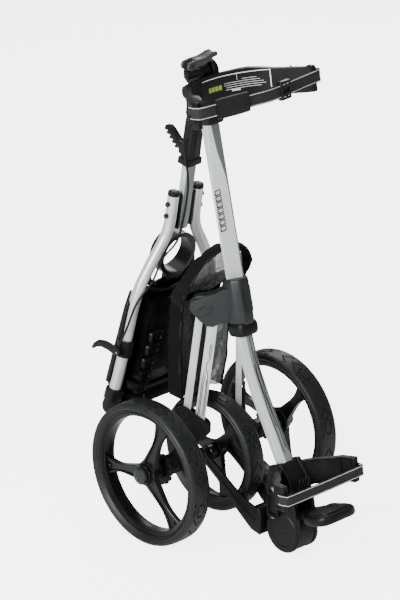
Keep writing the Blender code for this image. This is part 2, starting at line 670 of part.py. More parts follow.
def build_handle_joint():
    joint = place(cylinder_mesh(0.0165, 2 * KNUCKLE_HALF - 0.001, 20, name="handle_joint"),
                  "handle_joint", "black_plastic", rotation=ALONG_X, parent=handle_axis)
    arm = [(-0.006, 0.010), (0.0165, 0.002), (0.0165, -0.070), (0.0125, -0.105),
           (0.000, -0.105), (0.0080, -0.070), (0.0080, -0.022), (-0.010, -0.008)]
    join(joint, guide(plate_mesh(arm, 2 * KNUCKLE_HALF - 0.001), "joint_arm",
                      rotation=ALONG_YZ, parent=handle_axis))
    join(joint, straight_tube("joint_sleeve", None, (0.034, 0.025), -0.190, -0.088,
                              handle_axis, guide, 0.005),
         straight_tube("joint_rim", None, (0.040, 0.031), -0.196, -0.180, handle_axis, guide,
                       0.006))
    cut(joint, straight_tube("bar_bore", None, (HANDLE_BAR[0] + 2 * GAP,
                                                HANDLE_BAR[1] + 2 * GAP),
                             -0.3, -0.110, handle_axis, guide, 0.0052),
        guide(cylinder_mesh(HINGE_PIN_R + 0.0003, 0.1, 12), "joint_pin_hole",
              rotation=ALONG_X, parent=handle_axis))
    bar = straight_tube("handle_bar", "grey_tube", HANDLE_BAR, -0.338, -0.110 - GAP,
                        handle_axis, radius=0.005)
    return bar


def build_handle_tubes(bar):
    tubes = []
    for name, side in SIDES:
        route = smooth_path(handle_tube_route(side), 2)
        tubes.append(place(tube_mesh(route, ROUND_TUBE_R, 3, f"handle_tube_{name}"),
                           f"handle_tube_{name}", "silver_tube", parent=handle_axis))
    for index, height in enumerate(BOLT_Z):
        hole = guide(cylinder_mesh(0.0033, 0.12, 10), f"bolt_hole_{index}", (0, 0, height),
                     ALONG_X, handle_axis)
        for piece in tubes + [bar]:
            cut(piece, hole)
        bolt = place(cylinder_mesh(0.0030, 0.096, 10, name=f"handle_bolt_{index + 1}"),
                     f"handle_bolt_{index + 1}", "zinc", (0, 0, height), ALONG_X, handle_axis)
        for side_name, side in SIDES:
            join(bolt, guide(cylinder_mesh(0.0055, 0.0035, 6),
                             f"bolt_head_{index}_{side_name}", (side * 0.0463, 0, height),
                             ALONG_X, handle_axis))


def build_console():
    """Tray behind the two tubes, with the ball wells moulded on its underside."""
    half = [(0.098, -0.470), (0.112, -0.540), (0.124, -0.610), (0.132, -0.650),
            (0.124, -0.668)]
    outline = half + [(-x, z) for x, z in half[::-1]]
    tray = place(plate_mesh(outline, 0.010, "console"), "console", "black_plastic",
                 (0, 0.0182, 0), ALONG_XZ, handle_axis)
    wells = [(-0.070, -0.480), (0.070, -0.480), (0.078, -0.540), (0.086, -0.640),
             (-0.086, -0.640), (-0.078, -0.540)]
    join(tray, guide(plate_mesh(wells, 0.034), "console_wells", (0, 0.000, 0), ALONG_XZ,
                     handle_axis),
         guide(box_mesh((0.024, 0.012, 0.030)), "console_neck", (0, 0.018, -0.458),
               parent=handle_axis))
    for index, height in enumerate((-0.510, -0.558, -0.606)):
        cut(tray, guide(cylinder_mesh(0.0195, 0.040, 20), f"ball_well_{index}",
                        (0, 0.0076, height), ALONG_Y, handle_axis))
    for index, x in enumerate((-0.048, 0.048)):
        cut(tray, guide(box_mesh((0.040, 0.040, 0.120)), f"side_well_{index}",
                        (x, 0.0076, -0.560), parent=handle_axis))
    ring = [(0.0385, -0.014), (0.0420, -0.014), (0.0420, 0.014), (0.0385, 0.014)]
    place(turned_mesh(ring, 28, "cup_holder", ring=True), "cup_holder", "black_plastic",
          (0, 0.014, -0.398), ALONG_Y, handle_axis)


def build_grip():
    side_end = [(0.1312, 0.0, -0.680), (0.130, 0.006, -0.700), (0.118, 0.016, -0.716),
                (0.096, 0.022, -0.724)]
    route = [(-x, y, z) for x, y, z in side_end] + side_end[::-1]
    place(tube_mesh(smooth_path(route, 2), 0.0155, 3, "handle_grip"), "handle_grip", "foam",
          parent=handle_axis)


def build_brake_lever():
    clamp = place(cylinder_mesh(0.0165, 0.034, 20, name="brake_clamp"), "brake_clamp",
                  "black_plastic", (-0.1148, 0, -0.572), (0, radians(7.3), 0), handle_axis)
    join(clamp, guide(box_mesh((0.008, 0.020, 0.012)), "brake_tab", (-0.132, -0.004, -0.572),
                      parent=handle_axis))
    cut(clamp, guide(cylinder_mesh(ROUND_TUBE_R + 0.0012, 0.06, 16), "clamp_bore",
                     (-0.1148, 0, -0.572), (0, radians(7.3), 0), handle_axis),
        guide(box_mesh((0.060, 0.014, 0.06)), "clamp_clearance", (-0.1148, 0.0195, -0.572),
              parent=handle_axis),
        guide(cylinder_mesh(0.0024, 0.06, 10), "brake_pin_hole", (-0.132, -0.008, -0.572),
              ALONG_X, handle_axis))
    pivot = empty("brake_axis", (-0.1405, -0.008, -0.572), parent=handle_axis)
    blade = [(-0.006, -0.006), (0.008, -0.008), (0.030, -0.006), (0.052, -0.012),
             (0.066, -0.024), (0.070, -0.020), (0.060, -0.004), (0.036, 0.007),
             (0.010, 0.008), (-0.006, 0.006)]
    lever = place(plate_mesh(blade, 0.008, "brake_lever"), "brake_lever", "black_plastic",
                  rotation=ALONG_YZ, parent=pivot)
    cut(lever, guide(cylinder_mesh(0.0024, 0.06, 10), "lever_pin_hole", rotation=ALONG_X,
                     parent=pivot))
    place(cylinder_mesh(0.0021, 0.016, 10), "brake_lever_pin", "zinc",
          (-0.1368, -0.008, -0.572), ALONG_X, handle_axis)


def build_latch_lever():
    """Ribbed finger lever behind the joint sleeve."""
    pivot = empty("latch_axis", (LATCH_X, LATCH_Y, LATCH_Z), parent=handle_axis)
    outline = [(-0.004, -0.006), (0.006, -0.010)]
    for step in range(4):
        base = Vector((0.012 + 0.008 * step, -0.006 + 0.009 * step))
        outline += [(base.x, base.y - 0.006), (base.x + 0.004, base.y - 0.005),
                    (base.x + 0.003, base.y + 0.001)]
    outline += [(0.044, 0.030), (0.038, 0.036), (0.020, 0.028), (0.006, 0.012),
                (-0.004, 0.006)]
    lever = place(plate_mesh(outline, 0.010, "latch_lever"), "latch_lever", "black_plastic",
                  rotation=ALONG_YZ, parent=pivot)
    cut(lever, guide(cylinder_mesh(0.0024, 0.06, 10), "latch_pin_hole", rotation=ALONG_X,
                     parent=pivot))
    joint = bpy.data.objects["handle_joint"]
    for name, side in SIDES:
        join(joint, guide(box_mesh((0.004, 0.016, 0.014)), f"latch_ear_{name}",
                          (LATCH_X + side * 0.0078, LATCH_Y - 0.0005, LATCH_Z),
                          parent=handle_axis))
    cut(joint, guide(cylinder_mesh(0.0024, 0.05, 10), "latch_ear_hole",
                     (LATCH_X, LATCH_Y, LATCH_Z), ALONG_X, handle_axis))
    place(cylinder_mesh(0.0021, 0.019, 10), "latch_pin", "zinc", (LATCH_X, LATCH_Y, LATCH_Z),
          ALONG_X, handle_axis)


def build_brake_cable():
    """Cable clipped along the handle, from the brake clamp up to the joint sleeve."""
    route = [(-0.138, -0.006, -0.560), (-0.128, -0.012, -0.520), (-0.112, -0.014, -0.470),
             (-0.075, -0.014, -0.430), (-0.052, -0.010, -0.390), (-0.030, -0.022, -0.350),
             (-0.022, -0.024, -0.300), (-0.020, -0.024, -0.240), (-0.022, -0.020, -0.205),
             (-0.0235, -0.008, -0.170), (-0.0225, 0.000, -0.140)]
    place(tube_mesh(smooth_path(route, 3), 0.0022, 1, "brake_cable"), "brake_cable",
          "black_plastic", parent=handle_axis)


# ---- accessory bag -----------------------------------------------------------------------
def build_accessory_bag():
    """Mesh pouch behind the hub; its arched rim faces forward."""
    half = [(0.040, -0.135), (0.052, -0.080), (0.060, 0.005), (0.064, 0.080),
            (0.054, 0.125), (0.026, 0.150)]
    arch = half + [(-x, z) for x, z in half[::-1]]
    bag_axis = empty("bag_axis", (0, 0.040, 0.415), (radians(4), 0, 0), model)
    pouch = place(plate_mesh(arch, 0.036, "accessory_bag"), "accessory_bag", "bag_fabric",
                  rotation=ALONG_XZ, parent=bag_axis)
    cut(pouch, guide(box_mesh((0.088, 0.026, 0.260)), "bag_mouth", (0, 0, 0.070),
                     parent=bag_axis))


build_tubes()
build_hub()
build_lower_bracket()
build_bag_rest()
build_upper_bracket()
build_cam_lever()
build_straps()
for side_name, side_sign in SIDES:
    build_rear_wheel(side_name, side_sign)
    build_leg(side_name, side_sign)
build_front_wheel()
build_fork()
build_handle_tubes(build_handle_joint())
build_console()
build_grip()
build_brake_lever()
build_latch_lever()
build_brake_cable()
build_accessory_bag()
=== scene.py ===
# %% [markdown]
# # A folding golf push trolley
# Three wheels, a leaning main tube, two cradles for the bag, and a handle that folds down behind.
# It stands folded, on its rear tyres and on the round hinge of its front fork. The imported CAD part
# gives every place and every motion, so this lesson only makes each piece look like the real one:
# a CAD node whose shape is right gets a finish, and the others are replaced by finer meshes.

import json
from math import cos, pi, radians, sin

import bmesh
import bpy
from mathutils import Matrix, Vector, noise


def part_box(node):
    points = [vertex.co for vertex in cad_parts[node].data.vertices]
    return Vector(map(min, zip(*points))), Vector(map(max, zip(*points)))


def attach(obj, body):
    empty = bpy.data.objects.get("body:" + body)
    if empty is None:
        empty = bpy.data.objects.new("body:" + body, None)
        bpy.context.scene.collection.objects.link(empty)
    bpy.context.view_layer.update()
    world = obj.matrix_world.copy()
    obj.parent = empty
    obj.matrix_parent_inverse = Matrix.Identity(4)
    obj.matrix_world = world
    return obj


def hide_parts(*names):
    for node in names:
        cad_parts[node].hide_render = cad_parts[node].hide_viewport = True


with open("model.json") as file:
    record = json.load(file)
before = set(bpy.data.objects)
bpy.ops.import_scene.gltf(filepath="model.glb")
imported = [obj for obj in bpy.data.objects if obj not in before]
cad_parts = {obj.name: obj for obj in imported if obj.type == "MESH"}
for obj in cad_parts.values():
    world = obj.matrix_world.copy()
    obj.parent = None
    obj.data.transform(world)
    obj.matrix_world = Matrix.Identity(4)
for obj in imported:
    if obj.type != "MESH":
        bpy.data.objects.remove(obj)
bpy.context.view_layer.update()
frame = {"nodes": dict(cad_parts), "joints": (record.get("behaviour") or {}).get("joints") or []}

# %% [markdown]
# ## Where things are
# Every measure hangs on a few places of the real trolley: the axle line, the lean of the main
# tube, the hinge of the handle. They are read from the part's own joints and boxes, so a change
# in the part moves the looks with it. Each leaning piece is drawn upright in its own frame and
# turned into place at the end, which is easier to read than slanted coordinates.

# %% Frames of the main tube, the handle, the cradles and the wheels
SIDES = (("left", -1), ("right", 1))
JOINTS = {joint["name"]: joint for joint in frame["joints"]}


def middle(node):
    low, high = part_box(node)
    return (low + high) / 2


def turn(degrees, axis):
    return Matrix.Rotation(radians(degrees), 4, axis)


def shift(x, y, z):
    return Matrix.Translation((x, y, z))


AXLE_Y = middle("rear_tyre_left").y


def spot(x, y, z):
    """A frame at a place measured from the rear axle line."""
    return shift(x, y + AXLE_Y, z)


def joint_frame(name):
    """A frame at a joint's pivot."""
    return Matrix.Translation(JOINTS[name]["pos_m"])


def splayed(side):
    """The hub's ears and the rear legs stand at forty-five degrees to the sides."""
    return turn(45 if side > 0 else 135, "Z")


MAIN_LEAN, HANDLE_LEAN = -13.2, 9.65       # degrees about X
AXLE = spot(0, 0, 0)
MAIN = spot(0, -0.066, 0.475) @ turn(MAIN_LEAN, "X")
HANDLE = joint_frame("handle_fold") @ turn(HANDLE_LEAN, "X")
CRADLE = spot(0, 0, 0.884) @ turn(-9, "X")
WINGS = spot(0, -0.004, 0.122) @ turn(-8, "X")
WHEEL = {name: Matrix.Translation(middle(f"rear_tyre_{name}")) @ turn(90 * side, "Y")
         for name, side in SIDES}
FRONT = Matrix.Translation(middle("front_tyre")) @ turn(90, "Y")
ALONG_X = turn(90, "Y")
ALONG_Y = turn(90, "X")
FACING = turn(90, "X")                     # an outline's X and Y laid along X and Z
SIDEWAYS = turn(90, "Z") @ turn(90, "X")   # an outline's X and Y laid along Y and Z
print("rear axle line at y", round(AXLE_Y, 4))

# %% [markdown]
# ## The studio
# A plain pale floor and broad soft lights, as for a catalogue. A long lens from well back keeps
# the uprights nearly parallel. The key light comes from the front left, so the left faces of the
# silver tubes are bright and their right faces fall off to grey. The main tubes and the flat bar
# also carry painted shade on their front and right faces, in darker copies of their lacquer.

# %% Camera, lights and floor
scene = bpy.context.scene
lens = bpy.data.cameras.new("camera")
lens.lens = 230.2
lens.sensor_width = 36
camera = bpy.data.objects.new("camera", lens)
scene.collection.objects.link(camera)
scene.camera = camera
lens.clip_end = 60


def aim(thing, direction):
    thing.rotation_mode = "QUATERNION"
    thing.rotation_quaternion = direction.to_track_quat("-Z", "Y")


azimuth, elevation = radians(-43.99), radians(22.74)
back = Vector((sin(azimuth) * cos(elevation), -cos(azimuth) * cos(elevation), sin(elevation)))
camera.location = spot(-4.7784, -4.9084, 3.3283).translation
aim(camera, -back)


def lamp(name, place, size, power, target=(0, 0, 0.45)):
    light = bpy.data.lights.new(name, "AREA")
    light.shape = "RECTANGLE"
    light.size, light.size_y = size
    light.energy = power
    made = bpy.data.objects.new(name, light)
    scene.collection.objects.link(made)
    made.location = place
    aim(made, Vector(target) - Vector(place))


lamp("key_light", (-3.0, -0.7, 2.0), (1.5, 2.2), 215)
lamp("front_light", (-0.6, -3.4, 1.8), (1.2, 1.6), 20)
lamp("rim_light", (2.2, 1.8, 2.0), (1.0, 1.6), 30)
lamp("top_light", (0, 0.6, 3.6), (2.6, 2.6), 60)
sky = bpy.data.worlds.new("studio")
scene.world = sky
sky.use_nodes = True
sky.node_tree.nodes["Background"].inputs["Color"].default_value = (1, 1, 1, 1)
sky.node_tree.nodes["Background"].inputs["Strength"].default_value = 0.40

# %% [markdown]
# ## Finishes
# The trolley has few materials: lacquered aluminium, moulded plastic, tyre rubber, webbing, net
# and zinc. All of them vary a little over the surface, so one node group does that for every
# finish: a fine grain for the bump, broad blotches for colour and gloss, and faint scuffs. Each
# material gives the group its own colours and sizes.

# %% Small helpers for shader nodes
def add(tree, kind, values=None, **settings):
    node = tree.nodes.new(kind)
    for key, value in settings.items():
        setattr(node, key, value)
    for key, value in (values or {}).items():
        node.inputs[key].default_value = value
    return node


def new_group(name, inputs, outputs):
    """An empty node group; inputs are (name, kind, default)."""
    tree = bpy.data.node_groups.new(name, "ShaderNodeTree")
    for label, kind, value in inputs:
        socket = tree.interface.new_socket(label, in_out="INPUT", socket_type=f"NodeSocket{kind}")
        if value is not None:
            socket.default_value = value
    for label, kind in outputs:
        tree.interface.new_socket(label, in_out="OUTPUT", socket_type=f"NodeSocket{kind}")
    return tree, add(tree, "NodeGroupInput"), add(tree, "NodeGroupOutput")


def math_node(tree, operation, first, second):
    node = add(tree, "ShaderNodeMath", operation=operation)
    for socket, value in zip(node.inputs, (first, second)):
        if isinstance(value, (int, float)):
            socket.default_value = value
        else:
            tree.links.new(value, socket)
    return node.outputs[0]


# %% The group that gives every finish its grain, blotches and scuffs
def build_surface_group():
    tree, given, out = new_group(
        "handled_surface",
        [("Colour", "Color", None), ("Blotch Colour", "Color", None),
         ("Scuff Colour", "Color", None), ("Roughness", "Float", 0.4),
         ("Grain Size", "Float", 900.0), ("Grain Depth", "Float", 0.2),
         ("Stretch", "Vector", (1.0, 1.0, 1.0)), ("Scuffs", "Float", 0.3)],
        [("Colour", "Color"), ("Roughness", "Float"), ("Normal", "Vector")])
    link = tree.links.new
    coordinates = add(tree, "ShaderNodeTexCoord")
    mapping = add(tree, "ShaderNodeMapping")
    link(coordinates.outputs["Object"], mapping.inputs["Vector"])
    link(given.outputs["Stretch"], mapping.inputs["Scale"])
    grain = add(tree, "ShaderNodeTexNoise", {"Detail": 3.0})
    link(mapping.outputs[0], grain.inputs["Vector"])
    link(given.outputs["Grain Size"], grain.inputs["Scale"])
    blotch = add(tree, "ShaderNodeTexNoise", {"Scale": 21.0, "Detail": 5.0})
    link(coordinates.outputs["Object"], blotch.inputs["Vector"])
    broad = add(tree, "ShaderNodeMapRange", {"From Min": 0.35, "From Max": 0.68})
    link(blotch.outputs[0], broad.inputs["Value"])
    shade = add(tree, "ShaderNodeMix", data_type="RGBA")
    link(broad.outputs[0], shade.inputs["Factor"])
    link(given.outputs["Colour"], shade.inputs["A"])
    link(given.outputs["Blotch Colour"], shade.inputs["B"])
    scratch_map = add(tree, "ShaderNodeMapping", {"Scale": (34.0, 150.0, 19.0),
                                                  "Rotation": (0.4, 0.2, 0.7)})
    link(coordinates.outputs["Object"], scratch_map.inputs["Vector"])
    scratch = add(tree, "ShaderNodeTexNoise", {"Scale": 2.0, "Detail": 4.0})
    link(scratch_map.outputs[0], scratch.inputs["Vector"])
    worn = add(tree, "ShaderNodeMapRange", {"From Min": 0.63, "From Max": 0.74})
    link(scratch.outputs[0], worn.inputs["Value"])
    amount = math_node(tree, "MULTIPLY", worn.outputs[0], given.outputs["Scuffs"])
    scuffed = add(tree, "ShaderNodeMix", data_type="RGBA")
    link(amount, scuffed.inputs["Factor"])
    link(shade.outputs["Result"], scuffed.inputs["A"])
    link(given.outputs["Scuff Colour"], scuffed.inputs["B"])
    link(scuffed.outputs["Result"], out.inputs["Colour"])
    fine = math_node(tree, "MULTIPLY", math_node(tree, "SUBTRACT", grain.outputs[0], 0.5), 0.22)
    wide = math_node(tree, "MULTIPLY", broad.outputs[0], 0.09)
    gloss = math_node(tree, "ADD", math_node(tree, "ADD", given.outputs["Roughness"], fine), wide)
    link(math_node(tree, "ADD", gloss, math_node(tree, "MULTIPLY", amount, 0.15)),
         out.inputs["Roughness"])
    bump = add(tree, "ShaderNodeBump", {"Distance": 0.0006})
    link(given.outputs["Grain Depth"], bump.inputs["Strength"])
    link(grain.outputs[0], bump.inputs["Height"])
    link(bump.outputs[0], out.inputs["Normal"])
    return tree


surface_group = build_surface_group()

# %% Plain finishes: lacquer, mouldings, rubber, zinc
finishes = {}


def new_material(name, colour):
    """A material in the list of finishes; colour is only its flat preview."""
    made = bpy.data.materials.new(name)
    made.use_nodes = True
    made.diffuse_color = (*colour, 1)
    finishes[name] = made
    return made.node_tree, made.node_tree.nodes["Principled BSDF"]


def finish(name, colour, blotch, scuff, roughness, grain, depth, scuffs=0.3, stretch=(1, 1, 1),
           **sockets):
    """A material from the shared group; sockets are plain values set on its shader."""
    tree, shader = new_material(name, colour)
    group = add(tree, "ShaderNodeGroup", {
        "Colour": (*colour, 1), "Blotch Colour": (*blotch, 1), "Scuff Colour": (*scuff, 1),
        "Roughness": roughness, "Grain Size": grain, "Grain Depth": depth, "Stretch": stretch,
        "Scuffs": scuffs}, node_tree=surface_group)
    for output, socket in (("Colour", "Base Color"), ("Roughness", "Roughness"),
                           ("Normal", "Normal")):
        tree.links.new(group.outputs[output], shader.inputs[socket])
    for label, value in sockets.items():
        shader.inputs[label.replace("_", " ").title().replace("Ior", "IOR")].default_value = value


finish("silver_lacquer", (0.60, 0.63, 0.63), (0.54, 0.57, 0.57), (0.80, 0.82, 0.82), 0.30, 1500,
       0.10, 0.25, (1, 1, 0.08), metallic=0.45, coat_weight=0.3)
# A dark copy of the silver lacquer with painted shade, for faces turned from the key light.
finish("painted_shade_lacquer", (0.17, 0.19, 0.19), (0.14, 0.16, 0.16), (0.3, 0.32, 0.32), 0.30, 1500,
       0.10, 0.2, (1, 1, 0.08), metallic=0.5, coat_weight=0.3)
# A lighter copy of the silver lacquer with painted half shade, for the lower tube's right faces.
finish("painted_half_shade_lacquer", (0.30, 0.33, 0.33), (0.25, 0.28, 0.28), (0.5, 0.52, 0.52), 0.32, 1500,
       0.10, 0.2, (1, 1, 0.08), metallic=0.5, coat_weight=0.2)
finish("black_moulding", (0.0022, 0.0024, 0.0027), (0.0036, 0.0039, 0.0043), (0.02, 0.021, 0.022),
       0.38, 1300, 0.22, 0.25, specular_ior_level=0.20)
finish("glossy_moulding", (0.0020, 0.0023, 0.0025), (0.003, 0.0035, 0.0038), (0.02, 0.022, 0.022),
       0.24, 1100, 0.10, 0.25, specular_ior_level=0.26)
finish("slate_moulding", (0.0078, 0.0104, 0.0108), (0.012, 0.0158, 0.0162), (0.05, 0.056, 0.056),
       0.36, 1300, 0.20, 0.3, specular_ior_level=0.34)
finish("grey_moulding", (0.036, 0.039, 0.040), (0.028, 0.031, 0.032), (0.12, 0.125, 0.125), 0.36,
       1300, 0.18, 0.3, specular_ior_level=0.4)
finish("tyre_rubber", (0.0042, 0.0050, 0.0054), (0.0080, 0.0092, 0.0097), (0.05, 0.055, 0.055),
       0.42, 700, 0.30, 0.35, specular_ior_level=0.30)
finish("soft_foam", (0.006, 0.006, 0.0065), (0.009, 0.009, 0.0095), (0.03, 0.03, 0.03), 0.80, 520,
       0.9, 0.1, specular_ior_level=0.25)
finish("charcoal_cloth", (0.0020, 0.0021, 0.0023), (0.0042, 0.0044, 0.0048), (0.02, 0.02, 0.02),
       0.80, 900, 0.6, 0.2, specular_ior_level=0.08, sheen_weight=0.02)
finish("padded_vinyl", (0.0032, 0.0033, 0.0036), (0.0065, 0.0067, 0.0072), (0.04, 0.04, 0.042),
       0.38, 420, 0.8, 0.4, specular_ior_level=0.32)
finish("white_piping", (0.60, 0.61, 0.60), (0.46, 0.47, 0.46), (0.75, 0.75, 0.74), 0.75, 1600,
       0.6, 0.2)
finish("zinc_plate", (0.52, 0.52, 0.51), (0.40, 0.40, 0.39), (0.7, 0.7, 0.7), 0.30, 1500, 0.1, 0.3,
       metallic=1.0)
finish("black_bolt", (0.008, 0.008, 0.0085), (0.012, 0.012, 0.0125), (0.1, 0.1, 0.1), 0.30, 1500,
       0.1, 0.3, metallic=0.4)
finish("label_black", (0.004, 0.0045, 0.0035), (0.006, 0.0066, 0.005), (0.03, 0.03, 0.03), 0.30,
       900, 0.05, 0.2, specular_ior_level=0.3)
# White for the printed label lines, and also for the painted glints on the buckle.
finish("print_and_glint_white", (0.80, 0.80, 0.79), (0.72, 0.72, 0.71), (0.6, 0.6, 0.6), 0.4, 900, 0.05)
finish("label_green", (0.33, 0.42, 0.06), (0.28, 0.36, 0.05), (0.4, 0.45, 0.2), 0.4, 900, 0.05)
finish("pale_floor", (0.86, 0.86, 0.86), (0.85, 0.85, 0.85), (0.86, 0.86, 0.86), 0.75, 60, 0.02,
       0.0, emission_strength=4.2)
floor_tree = finishes["pale_floor"].node_tree
lights_path = add(floor_tree, "ShaderNodeLightPath")
floor_tree.links.new(lights_path.outputs["Is Camera Ray"],
                     floor_tree.nodes["Principled BSDF"].inputs["Emission Color"])


# %% [markdown]
# ## Woven finishes
# Webbing and net are threads that cross, so their pattern has to follow the strip and not the
# room. Every strap carries its own run and width as an attribute of its points, and two wave
# textures laid across each other on that attribute make the weave. The net is the same weave
# with its gaps cut away by alpha, which keeps it a light mesh.

# %% The weave group, the webbing and the two nets
def build_weave_group():
    tree, given, out = new_group("crossed_threads",
                                 [("Vector", "Vector", None), ("Threads", "Float", 700.0)],
                                 [("Height", "Float"), ("Gaps", "Float")])
    waves = []
    for direction in ("X", "Y"):
        wave = add(tree, "ShaderNodeTexWave", {"Distortion": 0.4, "Detail": 1.0},
                   bands_direction=direction)
        tree.links.new(given.outputs["Vector"], wave.inputs["Vector"])
        tree.links.new(given.outputs["Threads"], wave.inputs["Scale"])
        waves.append(wave.outputs["Fac"])
    height = math_node(tree, "MAXIMUM", *waves)
    tree.links.new(height, out.inputs["Height"])
    tree.links.new(math_node(tree, "GREATER_THAN", height, 0.60), out.inputs["Gaps"])
    return tree


weave_group = build_weave_group()


def woven(name, colour, second, threads, see_through=False):
    tree, shader = new_material(name, second)
    run = add(tree, "ShaderNodeAttribute", attribute_name="weave")
    group = add(tree, "ShaderNodeGroup", {"Threads": threads}, node_tree=weave_group)
    tree.links.new(run.outputs["Vector"], group.inputs["Vector"])
    mix = add(tree, "ShaderNodeMix", {"A": (*colour, 1), "B": (*second, 1)}, data_type="RGBA")
    tree.links.new(group.outputs["Height"], mix.inputs["Factor"])
    tree.links.new(mix.outputs["Result"], shader.inputs["Base Color"])
    bump = add(tree, "ShaderNodeBump", {"Strength": 0.6, "Distance": 0.0005})
    tree.links.new(group.outputs["Height"], bump.inputs["Height"])
    tree.links.new(bump.outputs[0], shader.inputs["Normal"])
    smoother = math_node(tree, "MULTIPLY", group.outputs["Height"], -0.12)
    tree.links.new(math_node(tree, "ADD", smoother, 0.85), shader.inputs["Roughness"])
    if see_through:
        tree.links.new(group.outputs["Gaps"], shader.inputs["Alpha"])


woven("black_webbing", (0.0018, 0.0018, 0.002), (0.0075, 0.0075, 0.008), 420.0)
woven("grey_net", (0.07, 0.072, 0.075), (0.26, 0.265, 0.27), 260.0, see_through=True)
woven("dark_net", (0.002, 0.002, 0.0022), (0.008, 0.008, 0.0086), 300.0)
print(len(finishes), "finishes")

# %% [markdown]
# ## Tools for shapes
# Most pieces of a trolley are one of four things: a turned shape, a flat plate with softened
# edges, a section carried along a line, or a tube. Each has a helper made from Blender's mesh
# operators, so that the steps below read as sizes and not as lists of faces.

# %% Turned shapes and plates
def tidy(shape):
    bmesh.ops.remove_doubles(shape, verts=shape.verts, dist=0.000005)
    bmesh.ops.recalc_face_normals(shape, faces=shape.faces)
    return shape


def turned(profile, steps=48, ring=False):
    """Turns (radius, height) points about Z; a ring's profile closes on itself."""
    shape = bmesh.new()
    points = [shape.verts.new((radius, 0, height)) for radius, height in profile]
    pairs = list(zip(points, points[1:])) + ([(points[-1], points[0])] if ring else [])
    edges = [shape.edges.new(pair) for pair in pairs]
    bmesh.ops.spin(shape, geom=points + edges, cent=(0, 0, 0), axis=(0, 0, 1), angle=2 * pi,
                   steps=steps, use_merge=True)
    return tidy(shape)


def soften(shape, width, segments=2, sharper_than=35):
    edges = [edge for edge in shape.edges
             if len(edge.link_faces) == 2
             and edge.calc_face_angle(0) > radians(sharper_than)]
    bmesh.ops.bevel(shape, geom=edges, offset=width, offset_type="OFFSET", affect="EDGES",
                    segments=segments, profile=0.5, material=-1, clamp_overlap=True)
    return shape


def plate(outline, thickness, edge=0.001, segments=2):
    """A flat outline in X and Y, given thickness both ways in Z and softened edges."""
    shape = bmesh.new()
    face = shape.faces.new([shape.verts.new((x, y, -thickness / 2)) for x, y in outline])
    grown = bmesh.ops.extrude_face_region(shape, geom=[face])
    top = [part for part in grown["geom"] if isinstance(part, bmesh.types.BMVert)]
    bmesh.ops.translate(shape, verts=top, vec=(0, 0, thickness))
    tidy(shape)
    return soften(shape, edge, segments) if edge else shape


def block(size, edge=0.001, segments=2):
    shape = bmesh.new()
    bmesh.ops.create_cube(shape, size=1)
    bmesh.ops.scale(shape, vec=size, verts=shape.verts)
    return soften(shape, edge, segments) if edge else shape


def arc(centre_x, centre_y, radius, start, end, count):
    """Points on a circle, angles in degrees."""
    angles = [radians(start + (end - start) * step / count) for step in range(count + 1)]
    return [(centre_x + radius * cos(a), centre_y + radius * sin(a)) for a in angles]


def rounded(width, depth, radius, count=3):
    """A rounded rectangle's outline."""
    x, y = width / 2 - radius, depth / 2 - radius
    corners = ((x, y, 0), (-x, y, 90), (-x, -y, 180), (x, -y, 270))
    return [point for cx, cy, angle in corners
            for point in arc(cx, cy, radius, angle, angle + 90, count)]


# %% Sections carried along a line, and tubes
def lofted(rings, weave=None):
    """Joins rings of points into one skin; weave gives every point its run and width."""
    shape = bmesh.new()
    layer = shape.verts.layers.float_vector.new("weave") if weave else None
    loops = []
    for index, ring in enumerate(rings):
        verts = [shape.verts.new(point) for point in ring]
        if weave:
            for vert, value in zip(verts, weave[index]):
                vert[layer] = value
        loops.append([shape.edges.new(pair) for pair in zip(verts, verts[1:] + verts[:1])])
    for near, far in zip(loops, loops[1:]):
        bmesh.ops.bridge_loops(shape, edges=near + far)
    for loop in (loops[0], loops[-1]):
        bmesh.ops.contextual_create(shape, geom=loop)
    bmesh.ops.recalc_face_normals(shape, faces=shape.faces)
    return shape


def flowing(points, steps=4):
    """Points on one smooth line through the given ones."""
    knots = [Vector(point) for point in points]
    knots = [2 * knots[0] - knots[1]] + knots + [2 * knots[-1] - knots[-2]]
    found = []
    for before, start, end, after in zip(knots, knots[1:], knots[2:], knots[3:]):
        for step in range(steps):
            t = step / steps
            found.append(0.5 * (2 * start + (end - before) * t
                                + (2 * before - 5 * start + 4 * end - after) * t ** 2
                                + (3 * start - before - 3 * end + after) * t ** 3))
    return found + [knots[-2]]


def direction_at(path, index):
    """The direction of a line at one of its points."""
    return (path[min(index + 1, len(path) - 1)] - path[max(index - 1, 0)]).normalized()


def swept(line, section):
    """Carries (sideways, upwards) points along a flat line; section may change on the way."""
    path = [Vector((point[0], point[1], 0)) for point in line]
    last = len(path) - 1
    rings, weave, run = [], [], 0.0
    for index, point in enumerate(path):
        along = direction_at(path, index)
        side = Vector((-along.y, along.x, 0))
        points = section(index / last) if callable(section) else section
        rings.append([point + side * out + Vector((0, 0, up)) for out, up in points])
        run += (point - path[index - 1]).length if index else 0
        weave.append([(run, up + out, 0) for out, up in points])
    return lofted(rings, weave=weave)


def tube(line, radius, sides=20):
    """A round tube along a line; radius is a number or one number for each point."""
    path = [Vector(point) for point in line]
    radii = radius if isinstance(radius, (list, tuple)) else [radius] * len(path)
    along = (path[1] - path[0]).normalized()
    across = along.orthogonal().normalized()
    rings = []
    for index, (point, size) in enumerate(zip(path, radii)):
        ahead = direction_at(path, index)
        across = along.rotation_difference(ahead) @ across
        along = ahead
        other = along.cross(across).normalized()
        rings.append([point + (across * cos(a) + other * sin(a)) * size
                      for a in (2 * pi * k / sides for k in range(sides))])
    return lofted(rings)


def rod(radius, low, high, edge=0.0006, steps=32):
    """A straight round bar along Z with softened rims."""
    return turned([(0, low), (radius - edge, low), (radius, low + edge), (radius, high - edge),
                   (radius - edge, high), (0, high)], steps)


# %% Putting shapes together and keeping them as pieces
def at(place, shape):
    bmesh.ops.transform(shape, matrix=place, verts=shape.verts)
    return shape


